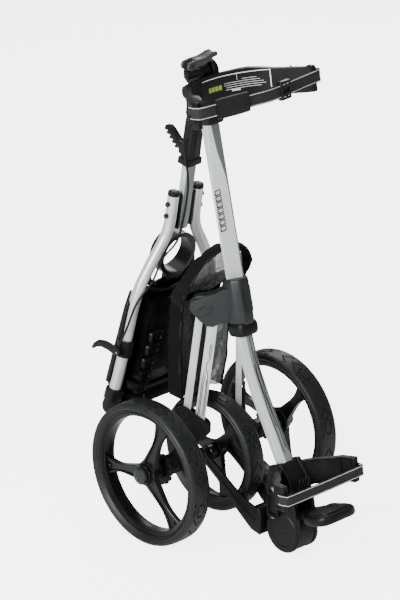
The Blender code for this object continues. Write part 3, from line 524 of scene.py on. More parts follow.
def together(*shapes):
    whole = shapes[0]
    for other in shapes[1:]:
        mesh = bpy.data.meshes.new("joined")
        other.to_mesh(mesh)
        other.free()
        whole.from_mesh(mesh)
        bpy.data.meshes.remove(mesh)
    return whole


def paint(shape, chosen):
    """Marks the faces that take a piece's second finish."""
    shape.normal_update()
    for face in shape.faces:
        face.material_index = int(chosen(face))
    return shape


def side_plate(x, outline, thickness, edge, segments):
    """A plate cut from its side view, standing at x on the axle line's frame."""
    return at(spot(x, 0, 0) @ SIDEWAYS, plate(outline, thickness, edge, segments))


def brick(place, size, edge=0.001, segments=2):
    return at(shift(*place), block(size, edge, segments))


def into_scene(name, shape, *finish_names):
    """Makes a named object of the shape, in these finishes."""
    mesh = bpy.data.meshes.new(name)
    shape.to_mesh(mesh)
    shape.free()
    for finish_name in finish_names:
        mesh.materials.append(finishes[finish_name])
    made = bpy.data.objects.new(name, mesh)
    scene.collection.objects.link(made)
    return made


def keep(name, shape, finish_name, body, place=Matrix(), hides=(), angle=32,
         second=None):
    """Makes the shape, or a list of them, a piece of the trolley that rides on its body."""
    if isinstance(shape, list):
        shape = together(*shape)
    at(place, shape)
    bmesh.ops.recalc_face_normals(shape, faces=shape.faces)
    made = into_scene(name, shape, finish_name, *([second] if second else []))
    made.data.shade_smooth()
    made.data.set_sharp_from_angle(angle=radians(angle))
    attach(made, body)
    if hides:
        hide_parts(*hides)
    return made


floor_shape = bmesh.new()
bmesh.ops.create_grid(floor_shape, x_segments=2, y_segments=2, size=24)
floor = into_scene("floor", floor_shape, "pale_floor")

# %% [markdown]
# ## The main tube
# The real tube is an extrusion pressed into a slim, faceted shape. Near the top its bright left
# face meets the shaded front face at the corner; lower down that ridge wanders to the right, and
# the bright face grows into a wide slant. A stack of sections whose ridge moves gives the line,
# because the faces catch different light, and the front and right faces take copies of the
# lacquer with painted shade.

# %% Upper and lower main tubes
def tube_section(half_width, half_depth, ridge, heel, soft=0.0030):
    """Corners of the tube: rear, left face down to its heel, slant to the ridge, front, right."""
    return [(half_width - soft, half_depth), (-half_width + soft, half_depth),
            (-half_width, half_depth - soft), (-half_width, heel + 0.0008),
            (-half_width + 0.0006, heel - 0.0004), (ridge - 0.0009, -half_depth + 0.0003),
            (ridge + 0.0009, -half_depth), (half_width - soft, -half_depth),
            (half_width, -half_depth + soft), (half_width, half_depth - soft)]


TUBE_HALF = 0.0150
rings = []
for height, ridge, heel in ((-0.030, 0.0105, 0.0050), (0.100, 0.0102, 0.0045),
                            (0.225, 0.0098, 0.0045), (0.245, 0.0085, 0.0030),
                            (0.262, 0.0050, 0.0010), (0.280, 0.0008, -0.0010),
                            (0.296, -0.0030, -0.0030), (0.312, -0.0048, -0.0045),
                            (0.340, -0.0072, -0.0062), (0.380, -0.0094, -0.0080),
                            (0.428, -0.0102, -0.0086)):
    rings.append([(x, y, height) for x, y in tube_section(TUBE_HALF, 0.0121, ridge, heel)])
# The front and right faces take the copy of the lacquer with painted shade.
upper = paint(lofted(rings), lambda face: face.normal.y < -0.95 or face.normal.x > 0.3)
keep("main_tube_upper", upper, "silver_lacquer", "frame", MAIN, ["upper_tube"], angle=20,
     second="painted_shade_lacquer")

LOWER_LINE = flowing([(0, -0.0735, 0.4375), (0, -0.083, 0.400), (0, -0.100, 0.350),
                      (0, -0.124, 0.300), (0, -0.152, 0.250), (0, -0.180, 0.200),
                      (0, -0.194, 0.176)], 4)
LOWER_DEPTH = 0.0108
rings = []
for index, point in enumerate(LOWER_LINE):
    along = direction_at(LOWER_LINE, index)
    out = Vector((0, along.z, -along.y))
    out = out if out.y > 0 else -out
    rings.append([point + Vector((x, 0, 0)) + out * y
                  for x, y in tube_section(TUBE_HALF, LOWER_DEPTH, -0.0045, -0.0035)])
# Front faces turned to the right, and the right faces, take the lacquer with painted half shade.
lower = paint(lofted(rings), lambda face: face.normal.y < -0.72 and face.normal.x > -0.2
              or face.normal.x > 0.3)
keep("main_tube_lower", lower, "silver_lacquer", "frame", AXLE, ["lower_tube"],
     angle=20, second="painted_half_shade_lacquer")
print("main tubes made")


# %% [markdown]
# ## Printed marks
# The real tubes carry printed black outlines. Here they are plain geometric strokes with no
# words: ribbons raised by well under a millimetre, and fine tubes where the face bends. A raised
# stroke is real geometry, so it needs no image and stays part of the piece's own mesh.

# %% Strokes laid on a face
def stroke(points, width, lift=0.0003):
    """A flat printed line through points of a plane, drawn in X and Y and raised in Z."""
    half = width / 2
    return swept(points, [(-half, 0), (half, 0), (half, lift), (-half, lift)])


def strokes(lines, width, lift=0.0003):
    return together(*[stroke(line, width, lift) for line in lines])


# A mark of slanted bars down the left front of the upper tube.
bars = []
for index in range(7):
    low = -0.001 + index * 0.0118
    bars.append([(-0.0050, low), (0.0050, low + 0.003), (0.0050, low + 0.0115),
                 (-0.0050, low + 0.0085), (-0.0050, low)])
# The slant runs from the heel to the ridge, so the mark is turned to lie on it.
on_left = MAIN @ shift(-0.0092, 0.0000, 0.142) @ turn(-35.5, "Z") @ turn(90, "X")
keep("tube_mark_side", strokes(bars, 0.0022, 0.0007), "label_black", "frame", on_left)

# Outlines that follow the right front face of the lower tube.
lines = []
for across, start, end in ((-0.0010, 8, 21), (0.0025, 3, 17), (0.0065, 6, 20), (0.0105, 2, 21)):
    route = []
    for index in range(start, end + 1):
        point = LOWER_LINE[index]
        ahead = direction_at(LOWER_LINE, index)
        out = Vector((0, -abs(ahead.z), ahead.y if ahead.z > 0 else -ahead.y))
        jog = 0.0016 if start + 5 < index < start + 10 else 0.0
        route.append(point + Vector((across - jog, 0, 0)) + out * (LOWER_DEPTH + 0.0002))
    lines.append(tube(route, 0.0007, 6))
keep("tube_mark_lower", lines, "label_black", "frame", AXLE)

# %% [markdown]
# ## The slate hub
# Both main tubes meet in this moulding, and its two ears carry the rear legs. It is built from a
# tapered collar with flat facets, two ears cut as thick plates that stand at forty-five degrees,
# and a raised oval on each ear where the real one has a badge, left blank here.

# %% Collar, ears and blank ovals
def collar_ring(height, width, front, rear):
    half = width / 2
    return [(half, -front * 0.45, height), (half * 0.52, -front, height),
            (-half * 0.52, -front, height), (-half, -front * 0.45, height),
            (-half, rear * 0.55, height), (-half * 0.6, rear, height),
            (half * 0.6, rear, height), (half, rear * 0.55, height)]


collar = lofted([collar_ring(-0.046, 0.040, 0.0205, 0.0195),
                 collar_ring(-0.038, 0.044, 0.0230, 0.0215),
                 collar_ring(-0.004, 0.045, 0.0235, 0.0225),
                 collar_ring(0.040, 0.0465, 0.0240, 0.0230),
                 collar_ring(0.047, 0.044, 0.0220, 0.0210)])
soften(collar, 0.0022, 3, 20)
groove = lofted([[(x, -0.0246, z) for x, z in rounded(0.019, 0.060, 0.0085, 4)],
                 [(x, -0.0228, z) for x, z in rounded(0.015, 0.056, 0.0065, 4)]])
hub_shape = together(collar, at(shift(0.003, 0, 0.006), groove))
at(MAIN, hub_shape)
ovals = []
EAR = [(0.004, 0.434), (0.034, 0.433), (0.050, 0.425), (0.060, 0.426), (0.076, 0.438),
       *arc(0.080, 0.466, 0.0155, -40, 85, 6), (0.064, 0.489), (0.046, 0.494), (0.030, 0.503),
       (0.004, 0.507)]
for name, side in SIDES:
    ear_place = spot(0, -0.066, 0) @ splayed(side)
    for face in (-1, 1):
        cheek = plate(EAR, 0.0062, 0.0018, 3)
        at(ear_place @ shift(0, face * 0.0100, 0) @ FACING, cheek)
        hub_shape = together(hub_shape, cheek)
        badge = turned([(0, 0.0016), (0.0128, 0.0016), (0.0142, 0.0008), (0.0142, -0.001),
                        (0, -0.001)], 40)
        oval_place = (ear_place @ shift(0.066, face * 0.0129, 0.458) @ turn(-90 * face, "X")
                      @ turn(28, "Z") @ Matrix.Diagonal((1.25, 0.62, 1.0, 1.0)))
        hub_shape = together(hub_shape, at(oval_place, badge))
        for radius in (0.0150, 0.0105, 0.0055):
            ovals.append(at(oval_place, turned([(radius - 0.0010, 0.0012), (radius, 0.0026),
                                                (radius + 0.0010, 0.0012)], 40, ring=True)))
    web = plate([(0.006, 0.440), (0.032, 0.440), (0.032, 0.500), (0.006, 0.502)], 0.024, 0.002)
    top = plate([(0.030, 0.4835), (0.088, 0.4835), (0.080, 0.4895), (0.062, 0.4895),
                 (0.046, 0.4935), (0.030, 0.502)], 0.022, 0.002)
    hub_shape = together(hub_shape, at(ear_place @ FACING, web), at(ear_place @ FACING, top))
keep("hub_moulding", hub_shape, "slate_moulding", "frame", hides=["hub"], angle=28)
keep("hub_ovals", ovals, "grey_moulding", "frame")

cuff = lofted([[(x, y, z) for x, y in rounded(0.0440 + grow, 0.0390 + grow, 0.010, 4)]
               for z, grow in ((-0.067, -0.004), (-0.065, 0.002), (-0.058, 0.005),
                               (-0.048, 0.005), (-0.042, 0.002), (-0.040, -0.002))])
keep("hub_cuff", cuff, "black_moulding", "frame", MAIN, ["hub_collar"])
print("hub made")

# %% [markdown]
# ## The upper cradle
# One black moulding does three jobs: a curved wall that the golf bag leans into, a socket over
# the main tube, and the knuckles of the handle hinge. The wall is a channel section swept round
# an arc, taller at the back than at its tips; the socket is a stack of rounded rectangles, and
# the knuckles are turned.

# %% Cradle wall, socket and knuckles
CRADLE_ARC = (0, -0.118, 0.130)
CRADLE_LINE = [(-0.152, -0.112), *arc(*CRADLE_ARC, 148, 32, 22), (0.152, -0.112)]


def cradle_section(t):
    """The wall has a flat bag side, and lips that stand out at its top and bottom edges."""
    middle_share = 1 - abs(2 * t - 1)
    half = 0.0245 + 0.0070 * min(1.0, middle_share * 2.4)
    lip = 0.0062 + 0.0085 * max(0.0, min(1.0, (abs(2 * t - 1) - 0.30) / 0.25)) * middle_share ** 0.3
    return [(-0.0058, -half), (0.0062, -half), (0.0062, -half + 0.0040),
            (0.0018, -half + 0.0065), (0.0018, half - 0.0085), (lip, half - 0.0050),
            (lip, half - 0.0015), (lip - 0.0030, half), (-0.0044, half), (-0.0058, half - 0.0015)]


wall = swept(CRADLE_LINE, cradle_section)
ribs = []
for x, y, heading in ((-0.134, -0.072, 60), (-0.104, -0.040, 37), (-0.062, -0.004, 26),
                      (0.062, -0.004, -26), (0.104, -0.040, -37), (0.134, -0.072, -60)):
    ribs.append(at(shift(x, y, 0) @ turn(heading, "Z"), block((0.003, 0.011, 0.052), 0.0006)))
tips = []
for name, side in SIDES:
    tips.append(brick((side * 0.1515, -0.1085, 0.001), (0.012, 0.017, 0.052), 0.003, 3))
    tips.append(at(shift(side * 0.1540, -0.103, -0.004) @ ALONG_X @ shift(0, 0, side * 0.003),
                   turned([(0, -0.004), (0.0085, -0.004), (0.0095, -0.003), (0.0095, 0.002),
                           (0.0075, 0.0038), (0, 0.0042)], 24)))
# A six-sided box on the near wing holds the strap's anchor, with upright ribs on its face.
hexagon = [(-0.032, -0.0120), (-0.018, -0.0165), (0.016, -0.0165), (0.031, -0.0070),
           (0.028, 0.0110), (-0.027, 0.0125)]
corner = lofted([[(x * share, y * share, z) for x, y in hexagon]
                 for z, share in ((-0.0135, 0.88), (-0.0115, 0.97), (0.0190, 1.0),
                                  (0.0250, 0.80), (0.0285, 0.42))])
box_place = shift(-0.1350, -0.0870, 0.004) @ turn(56, "Z")
tips.append(at(box_place, soften(corner, 0.0010, 2, 25)))
for along in (-0.018, -0.009, 0.000, 0.009):
    tips.append(at(box_place @ shift(along, -0.0167, 0.003),
                   block((0.0022, 0.0016, 0.026), 0.0006, 1)))
cradle = together(wall, *ribs, *tips)
at(CRADLE, cradle)
socket = lofted([[(x, y + push, z) for x, y in rounded(width, depth, 0.008, 4)]
                 for z, width, depth, push in ((0.352, 0.041, 0.034, -0.0035),
                                               (0.358, 0.045, 0.038, -0.0035),
                                               (0.378, 0.047, 0.040, -0.0030),
                                               (0.392, 0.047, 0.036, 0.0010),
                                               (0.430, 0.048, 0.036, 0.0030),
                                               (0.434, 0.044, 0.032, 0.0030))])
at(MAIN, socket)
knuckles = []
for name, side in SIDES:
    knuckle = turned([(0.0054, 0), (0.0205, 0), (0.0218, 0.0014), (0.0218, 0.0120),
                      (0.0205, 0.0136), (0.0120, 0.0136), (0.0105, 0.0142), (0.0054, 0.0142)],
                     48, ring=True)
    at(HANDLE @ shift(side * 0.0136, 0, 0) @ turn(90 * side, "Y"), knuckle)
    saddle = at(HANDLE @ shift(side * 0.0205, -0.010, -0.016), block((0.0134, 0.022, 0.024), 0.003))
    knuckles += [knuckle, saddle]
arm = at(spot(-0.0365, 0.0245, 0.924), block((0.035, 0.0128, 0.0155), 0.002))
tab = at(spot(-0.047, 0.026, 0.9335), block((0.009, 0.0078, 0.027), 0.0015))
keep("upper_cradle", [cradle, socket, *knuckles, arm, tab], "black_moulding", "frame",
     hides=["upper_bracket"], angle=28)

# %% [markdown]
# ## The label in the cradle
# The real cradle has an instruction label on the inner face of its far wing. A blank dark panel
# with a pale border and a few plain bars reads as that label without any words or marks.

# %% Panel, border and bars that follow the curve
def on_wall(start, end, low, high, out, count=10):
    """A thin strip on the bag side of the cradle wall, between two angles."""
    section = [(-0.0060 - out, low), (-0.0056, low), (-0.0056, high), (-0.0060 - out, high)]
    return swept(arc(*CRADLE_ARC, start, end, count), section)


keep("cradle_label", on_wall(104, 33, -0.022, 0.0262, 0.0001, 16), "label_black", "frame", CRADLE)
border = [on_wall(103, 34.0, 0.0238, 0.0252, 0.0004, 16),
          on_wall(34.9, 34.0, -0.010, 0.0252, 0.0004, 2),
          on_wall(64.6, 64.3, 0.0120, 0.0238, 0.0004, 2)]
for index, (start, end) in enumerate(((60, 47), (77, 44), (77, 41), (75, 39), (76, 43))):
    border.append(on_wall(start, end, 0.0125 - index * 0.0042, 0.0132 - index * 0.0042, 0.0004, 5))
border.append(on_wall(70, 62, -0.0085, -0.0050, 0.0004, 3))
keep("cradle_label_lines", border, "print_and_glint_white", "frame", CRADLE)
marks = [on_wall(95 - index * 4.0, 92 - index * 4.0, -0.0010, 0.0080, 0.0004, 2)
         for index in range(4)]
keep("cradle_label_marks", marks, "label_green", "frame", CRADLE)

# %% [markdown]
# ## Straps
# Webbing is a thin band, so each strap is a flat section swept along its run, with a rounded
# corner at each tip of the cradle. Pale cords are sewn along its edges, on both faces. Straps are
# modelled directly, because a cloth simulation would wipe out anything this thin.

# %% The upper strap with its piping, sleeve, buckle and end loops
UPPER_RUN = flowing([(-0.1585, -0.098, 0), (-0.1612, -0.108, 0), (-0.1600, -0.119, 0),
                     (-0.1540, -0.1262, 0), (-0.1100, -0.1338, 0), (-0.0500, -0.1438, 0),
                     (0, -0.1510, 0), (0.0500, -0.1440, 0), (0.1100, -0.1336, 0),
                     (0.1540, -0.1262, 0), (0.1600, -0.119, 0), (0.1612, -0.108, 0),
                     (0.1585, -0.098, 0)], 4)
LOWER_RUN = flowing([(-0.1035, -0.280, 0), (-0.1052, -0.290, 0), (-0.1035, -0.300, 0),
                     (-0.098, -0.3045, 0), (-0.050, -0.3055, 0), (0, -0.306, 0),
                     (0.050, -0.3055, 0), (0.098, -0.3045, 0), (0.1035, -0.300, 0),
                     (0.1052, -0.290, 0), (0.1035, -0.280, 0)], 4)


def webbing(name, run, half, place, hides):
    band = swept(run, [(-0.0008, -half), (0.0008, -half), (0.0008, half), (-0.0008, half)])
    keep(name, band, "black_webbing", "frame", place, hides)
    cords = []
    for edge in (-half + 0.0020, half - 0.0020):
        for out in (-0.0013, 0.0013):
            line = []
            for index, point in enumerate(run):
                ahead = direction_at(run, index)
                side = Vector((-ahead.y, ahead.x, 0))
                line.append(Vector(point) + side * out + Vector((0, 0, edge)))
            cords.append(tube(line, 0.0007, 6))
    keep(f"{name}_piping", cords, "white_piping", "frame", place)


STRAP = CRADLE @ shift(0, 0, 0.008)
webbing("upper_strap_band", UPPER_RUN, 0.0125, STRAP, ["upper_strap"])
webbing("lower_strap_band", LOWER_RUN, 0.0110, WINGS, ["lower_strap"])

sleeve_path = [point for point in UPPER_RUN if -0.134 < point.x < -0.044]
sleeve = swept(sleeve_path, lambda t: [
    (x * (0.84 + 0.32 * sin(pi * t) ** 0.5), y * (0.95 + 0.05 * sin(pi * t) ** 0.5))
    for x, y in rounded(0.0090, 0.0390, 0.0040, 3)])
sleeve_piece = keep("strap_pad_sleeve", sleeve, "padded_vinyl", "frame", STRAP,
                    ["strap_sleeve"], angle=60)

buckle_place = STRAP @ shift(0.0420, -0.1452, 0) @ turn(8.5, "Z")
frame_bars = []
for side in (-1, 1):
    frame_bars += [brick((side * 0.0128, 0, 0), (0.0045, 0.0105, 0.036), 0.0012),
                   brick((0, 0, side * 0.0158), (0.0300, 0.0105, 0.0048), 0.0012),
                   brick((0, -0.0034, side * 0.0075), (0.0260, 0.0034, 0.0052), 0.0006)]
# Small white bars on the buckle's face are painted highlights, where light glints on it.
painted_glints = [brick((x, -0.0056, z), (0.0046, 0.0006, 0.0012), 0.0002, 1)
         for x in (-0.0058, 0.0058) for z in (-0.0118, 0.0118)]
keep("strap_buckle_glints", painted_glints, "print_and_glint_white", "frame", buckle_place)
keep("strap_buckle_frame", frame_bars, "glossy_moulding", "frame", buckle_place,
     ["strap_buckle"])
print("straps made")

# %% [markdown]
# ## Tyres
# A foamed tyre is one ring of rubber. Its section is turned about the axle in many small
# steps, and then faces of the running surface are picked by their place round the wheel and
# sunk, which cuts the sparse chevrons, the blocks and the shoulder dashes of the real tread.

# %% A tyre with sidewall rings and a cut tread
ROWS, REPEAT = 9, 20          # rows of faces across the tread, steps in one repeat of its pattern
TREAD_SHARE = 0.74            # how much of the width runs on the ground
REAR_TYRE, FRONT_TYRE = (0.146, 0.024, 0.0196, 160), (0.121, 0.022, 0.0176, 140)


def tyre_shape(radius, half, wall, steps):
    edge = radius - wall
    side = [(edge, -half * 0.72), (edge + 0.0022, -half * 0.80), (edge + 0.0042, -half * 0.90),
            (edge + 0.0048, -half * 0.87), (edge + 0.0060, -half * 0.92),
            (radius - 0.0098, -half * 0.985), (radius - 0.0090, -half * 0.95),
            (radius - 0.0080, -half * 0.985), (radius - 0.0052, -half * 0.97),
            (radius - 0.0024, -half * 0.88), (radius - 0.0010, -half * TREAD_SHARE)]
    tread = [(radius - 0.0010 * (abs(2 * k / ROWS - 1)) ** 2.2,
              half * TREAD_SHARE * (2 * k / ROWS - 1)) for k in range(1, ROWS)]
    shape = turned(side + tread + [(r, -z) for r, z in side[::-1]], steps, ring=True)
    cut, fine = [], []
    for face in shape.faces:
        centre = face.calc_center_median()
        reach = (centre.x ** 2 + centre.y ** 2) ** 0.5
        if reach < radius - 0.0016 or abs(centre.z) > half * TREAD_SHARE:
            continue
        angle = Vector((centre.x, centre.y)).angle_signed(Vector((1, 0)), 0.0) % (2 * pi)
        step = int(angle / (2 * pi) * steps) % REPEAT
        row = int((centre.z / (half * TREAD_SHARE) + 1) / 2 * ROWS)
        lean = abs(row - 4)
        if step in (2 + lean, 7 + lean) and lean < 4:
            cut.append(face)
        elif (lean == 4 and step in (12, 13, 14, 16, 17)
              or row in (2, 6) and step in (12, 13, 14, 15)
              or row in (3, 4, 5) and step in (11, 16)):
            fine.append(face)
    bmesh.ops.inset_region(shape, faces=cut + fine, thickness=0.0009, depth=-0.0021,
                           use_even_offset=True)
    return shape


for name, side in SIDES:
    keep(f"tyre_{name}", tyre_shape(*REAR_TYRE), "tyre_rubber", f"rear_wheel_{name}",
         WHEEL[name], [f"rear_tyre_{name}"], angle=40)
keep("tyre_front", tyre_shape(*FRONT_TYRE), "tyre_rubber", "front_wheel", FRONT,
     ["front_tyre"], angle=40)
print("tyres made")


# %% [markdown]
# ## Rims
# The real rim is a deep plastic barrel with stepped rings, a hub, and three spokes that narrow
# from the hub and flare again where they meet the barrel. The barrel and the hub are turned. A
# spoke is a channel section lofted outwards, so its raised edges and sunk middle come with it.

# %% Barrel, hub and ribbed spokes
REAR_RIM, FRONT_RIM = (0.1258, 0.0172, 0.019, 0.0135), (0.1028, 0.0158, 0.016, 0.0115)
WAIST = 0.55                  # how far out a spoke is narrowest


def spoke_shape(inner, outer, root, waist, flare, face):
    rings = []
    for step in range(9):
        t = step / 8
        radius = inner + (outer - inner) * t
        half = root + (waist - root) * min(1, t / WAIST) ** 0.8
        if t > WAIST:
            half = waist + (flare - waist) * ((t - WAIST) / (1 - WAIST)) ** 2
        top = face - 0.0055 * t
        low = top - 0.0130 + 0.0030 * t
        rings.append([(radius, y, z) for y, z in (
            (-half, low), (half, low), (half, top - 0.0010), (half - 0.0010, top),
            (half * 0.66, top), (half * 0.52, top - 0.0032), (-half * 0.52, top - 0.0032),
            (-half * 0.66, top), (-half + 0.0010, top), (-half, top - 0.0010))])
    return lofted(rings)


def rim_shape(seat, half, hub, face):
    barrel = turned([(seat, half), (seat - 0.0018, half + 0.0006), (seat - 0.0036, half - 0.0002),
                     (seat - 0.0044, half - 0.0022), (seat - 0.0060, half - 0.0026),
                     (seat - 0.0066, half - 0.0048), (seat - 0.0084, half - 0.0056),
                     (seat - 0.0092, half * 0.35), (seat - 0.0096, -half * 0.45),
                     (seat - 0.0080, -half * 0.62), (seat - 0.0076, -half + 0.0030),
                     (seat - 0.0050, -half + 0.0022), (seat - 0.0044, -half), (seat, -half)],
                    96, ring=True)
    disc = [(hub * 0.5, face - 0.0150), (hub * 1.35, face - 0.0150), (hub * 1.45, face - 0.0120),
            (hub * 1.30, face - 0.0015), (hub * 1.05, face + 0.0010), (hub * 0.5, face + 0.0010)]
    parts = [barrel, turned(disc, 48, ring=True)]
    for index in range(3):
        spoke = spoke_shape(hub * 0.75, seat - 0.0085, hub * 0.95, hub * 0.44, hub * 1.05, face)
        outward = turn(100 + 120 * index, "Z")
        parts.append(at(outward, spoke))
        parts.append(at(outward @ shift(seat - 0.016, 0, face - 0.0080),
                        rod(0.0030, 0, 0.0030, 0.0008, 16)))
    return together(*parts)


for name, side in SIDES:
    wheel_hub = turned([(0.0102, -0.0228), (0.0170, -0.0228), (0.0186, -0.0210),
                        (0.0186, 0.0080), (0.0215, 0.0110), (0.0215, 0.0180), (0.0196, 0.0215),
                        (0.0102, 0.0225)], 48, ring=True)
    keep(f"rim_{name}", [rim_shape(*REAR_RIM), wheel_hub],
         "glossy_moulding", f"rear_wheel_{name}", WHEEL[name], [f"rear_rim_{name}"])
    cap = turned([(0, 0.0312), (0.0060, 0.0312), (0.0072, 0.0322), (0.0125, 0.0318),
                  (0.0160, 0.0298), (0.0173, 0.0268), (0.0173, 0.0240), (0.0165, 0.0236),
                  (0, 0.0236)], 48)
    keep(f"wheel_cap_{name}", cap, "slate_moulding", f"rear_wheel_{name}", WHEEL[name],
         [f"hub_cap_{name}"])
    teeth = []
    for index in range(14):
        for offset, radius in ((0.0, 0.0295), (0.20, 0.0335), (0.62, 0.0335), (0.82, 0.0295)):
            angle = 2 * pi * (index + offset) / 14
            teeth.append((radius * cos(angle), radius * sin(angle)))
    disc = plate(teeth, 0.0056, 0.0006, 1)
    inner = turned([(0.0072, -0.0042), (0.0200, -0.0042), (0.0215, -0.0030), (0.0215, 0.0030),
                    (0.0072, 0.0030)], 40, ring=True)
    keep(f"brake_wheel_{name}", [disc, inner], "black_moulding", f"rear_wheel_{name}",
         WHEEL[name] @ shift(0, 0, -0.0268), [f"brake_ring_{name}"])
front_hub = turned([(0.0058, -0.0215), (0.0140, -0.0215), (0.0158, -0.0200), (0.0158, 0.0200),
                    (0.0140, 0.0215), (0.0058, 0.0215)], 48, ring=True)
keep("rim_front", [rim_shape(*FRONT_RIM), front_hub],
     "glossy_moulding", "front_wheel", FRONT, ["front_rim"])
print("wheels made")

# %% [markdown]
# ## Rear legs
# Each leg is a pair of flat aluminium links that stay parallel as they fold, so the wheel never
# tips. A plate with fully rounded ends and a soft edge is the whole shape, and the inner link
# wears a printed outline. The part's own pins fill the pivots, so none are made here.

# %% Links and their printed outlines
LINKS = (("inner", "leg_{}_fold", 0.020), ("outer", "leg_outer_{}_fold", 0.015))
LEG_LEAN, LEG_LENGTH = -7, 0.228
for name, side in SIDES:
    for link, joint, width in LINKS:
        place = joint_frame(joint.format(name)) @ splayed(side) @ turn(LEG_LEAN, "Y") @ FACING
        half = width / 2
        outline = arc(0, 0, half, 0, 180, 10) + arc(0, -LEG_LENGTH, half, 180, 360, 10)
        keep(f"leg_link_{link}_{name}", plate(outline, 0.0118, 0.0016, 3), "silver_lacquer",
             f"leg_{link}_{name}", place, [f"leg_{link}_{name}"])
        if link == "inner":
            marks = []
            for face in (-1, 1):
                body_lines = strokes(
                    [[(0.0045, -0.052), (0.0045, -0.083), (-0.001, -0.094), (-0.001, -0.104),
                      (0.0035, -0.116), (0.0060, -0.150), (0.0060, -0.205)],
                     [(0.0015, -0.052), (0.0015, -0.082)],
                     [(-0.0030, -0.108), (-0.0055, -0.128), (-0.0055, -0.205)],
                     [(-0.0010, -0.120), (-0.0030, -0.140), (-0.0030, -0.200)],
                     [(0.0030, -0.128), (0.0036, -0.150), (0.0036, -0.200)]], 0.0014)
                marks.append(at(turn(90 - 90 * face, "Y") @ shift(0, 0, 0.0058), body_lines))
            keep(f"leg_print_{name}", marks, "label_black", f"leg_{link}_{name}",
                 place)
print("legs made")

# %% [markdown]
# ## Wheel brackets
# The two links of a leg end in one black bracket, which carries the axle. Two rounded cheeks stand
# either side of the links, a web joins them below where the links can still turn, and a ribbed
# arm runs down to the axle. The far side is the near side seen in a mirror, and is built so.

# %% Cheeks, web and axle arm
for name, side in SIDES:
    pivot = joint_frame(f"wheel_bracket_{name}_turn")
    inner = pivot.translation
    yoke_place = pivot @ splayed(side) @ shift(0.012, 0, 0.013)
    capsule = arc(0.021, 0.018, 0.0150, -50, 130, 8) + arc(-0.021, -0.016, 0.0150, 130, 310, 8)
    web = [(-0.030, -0.028), (-0.012, -0.0262), (0.004, -0.015), (0.017, -0.002),
           (0.032, 0.006), (0.034, -0.008), (0.022, -0.036), (-0.020, -0.042)]
    parts = [at(shift(0, face * 0.0100, 0) @ FACING, plate(capsule, 0.0058, 0.0016, 3))
             for face in (-1, 1)]
    parts.append(at(FACING, plate(web, 0.0240, 0.0020, 3)))
    for x, z in ((0.012, 0.013), (-0.012, -0.013)):
        parts.append(at(shift(x, 0, z) @ ALONG_Y, rod(0.0076, -0.0145, 0.0145, 0.0012, 24)))
    for share in (-1, 0, 1):
        parts.append(brick((share * 0.010, 0, -0.030 + share * 0.004), (0.0030, 0.0262, 0.014),
                           0.0008, 1))
    yoke = at(yoke_place, together(*parts))
    foot_x, foot_z = abs(inner.x) + 0.0085, inner.z - 0.010
    arm = [(side * (foot_x - 0.016), foot_z), (side * (foot_x + 0.014), foot_z),
           (side * 0.108, 0.164), (side * 0.1415, 0.164), (side * 0.1415, 0.128),
           (side * 0.098, 0.128), (side * 0.060, 0.151)]
    recess = [(side * (foot_x - 0.008), foot_z - 0.010), (side * (foot_x + 0.008), foot_z - 0.010),
              (side * 0.100, 0.157), (side * 0.128, 0.156), (side * 0.128, 0.137),
              (side * 0.100, 0.138), (side * 0.072, 0.156)]
    body_arm = at(AXLE @ FACING, plate(arm, 0.0240, 0.0030, 3))
    raised = at(AXLE @ FACING, plate(recess, 0.0268, 0.0014, 2))
    boss = at(spot(side * 0.1240, 0, 0.146) @ ALONG_X, rod(0.0165, -0.0170, 0.0175, 0.0016, 40))
    keep(f"axle_bracket_{name}", [yoke, body_arm, raised, boss], "black_moulding",
         f"wheel_bracket_{name}", hides=[f"wheel_bracket_{name}"])

# %% [markdown]
# ## The foot of the main tube
# The black casting at the bottom holds the tube, the lower bag wings, the fork hinge and a sprung
# plunger. Two cheeks leave room for the fork between them, a block joins them above, and the
# wings are a band swept round an arc with lips along its edges. Every edge is softened, because
# a moulded edge always catches a thin line of light.

# %% Casting, lips, hinge covers and plunger cage
HINGE_Y, HINGE_Z = -0.216, 0.044
foot_side = [(-0.178, 0.172), (-0.208, 0.186), (-0.232, 0.160), (-0.250, 0.105),
             *arc(HINGE_Y, HINGE_Z, 0.0438, 180, 350, 24), (-0.180, 0.085), (-0.168, 0.125)]
foot_core = [(-0.1785, 0.1700), (-0.2075, 0.1830), (-0.2300, 0.1590), (-0.2462, 0.1085),
             (-0.1860, 0.1015), (-0.1740, 0.1080), (-0.1690, 0.1250)]
foot = [side_plate(side * 0.02325, foot_side, 0.0095, 0.0022, 3) for name, side in SIDES]
foot.append(side_plate(0, foot_core, 0.0400, 0.0020, 2))
for x in (-0.012, -0.004, 0.004, 0.012):
    foot.append(at(spot(x, -0.2405, 0.137) @ turn(17, "X"), block((0.0026, 0.005, 0.046), 0.0009)))
WING_LINE = [(-0.097, -0.292), (-0.090, -0.262), *arc(0, -0.290, 0.082, 150, 30, 14),
             (0.090, -0.262), (0.097, -0.292)]
lips = [swept(WING_LINE, [(-0.0062, low), (0.0062, low), (0.0062, low + 0.0040),
                          (-0.0062, low + 0.0040)]) for low in (-0.0250, 0.0210)]
lips += [brick((side * 0.0965, -0.288, 0), (0.013, 0.012, 0.050), 0.003, 3)
         for name, side in SIDES]
lips.append(swept(WING_LINE, [(x, y) for x, y in rounded(0.0098, 0.0480, 0.0020, 2)]))
for x, y, heading in ((-0.086, -0.262, 70), (-0.062, -0.232, 40), (-0.030, -0.212, 18),
                      (0.030, -0.212, -18), (0.062, -0.232, -40), (0.086, -0.262, -70)):
    lips.append(at(shift(x, y, 0) @ turn(heading, "Z"), block((0.0030, 0.0125, 0.040), 0.0008)))
lug = at(spot(-0.0340, -0.200, 0.102) @ SIDEWAYS,
         plate([(-0.014, -0.024), (-0.014, 0.024), (0.014, 0.024), (0.014, -0.024)], 0.0120,
               0.0022, 3))
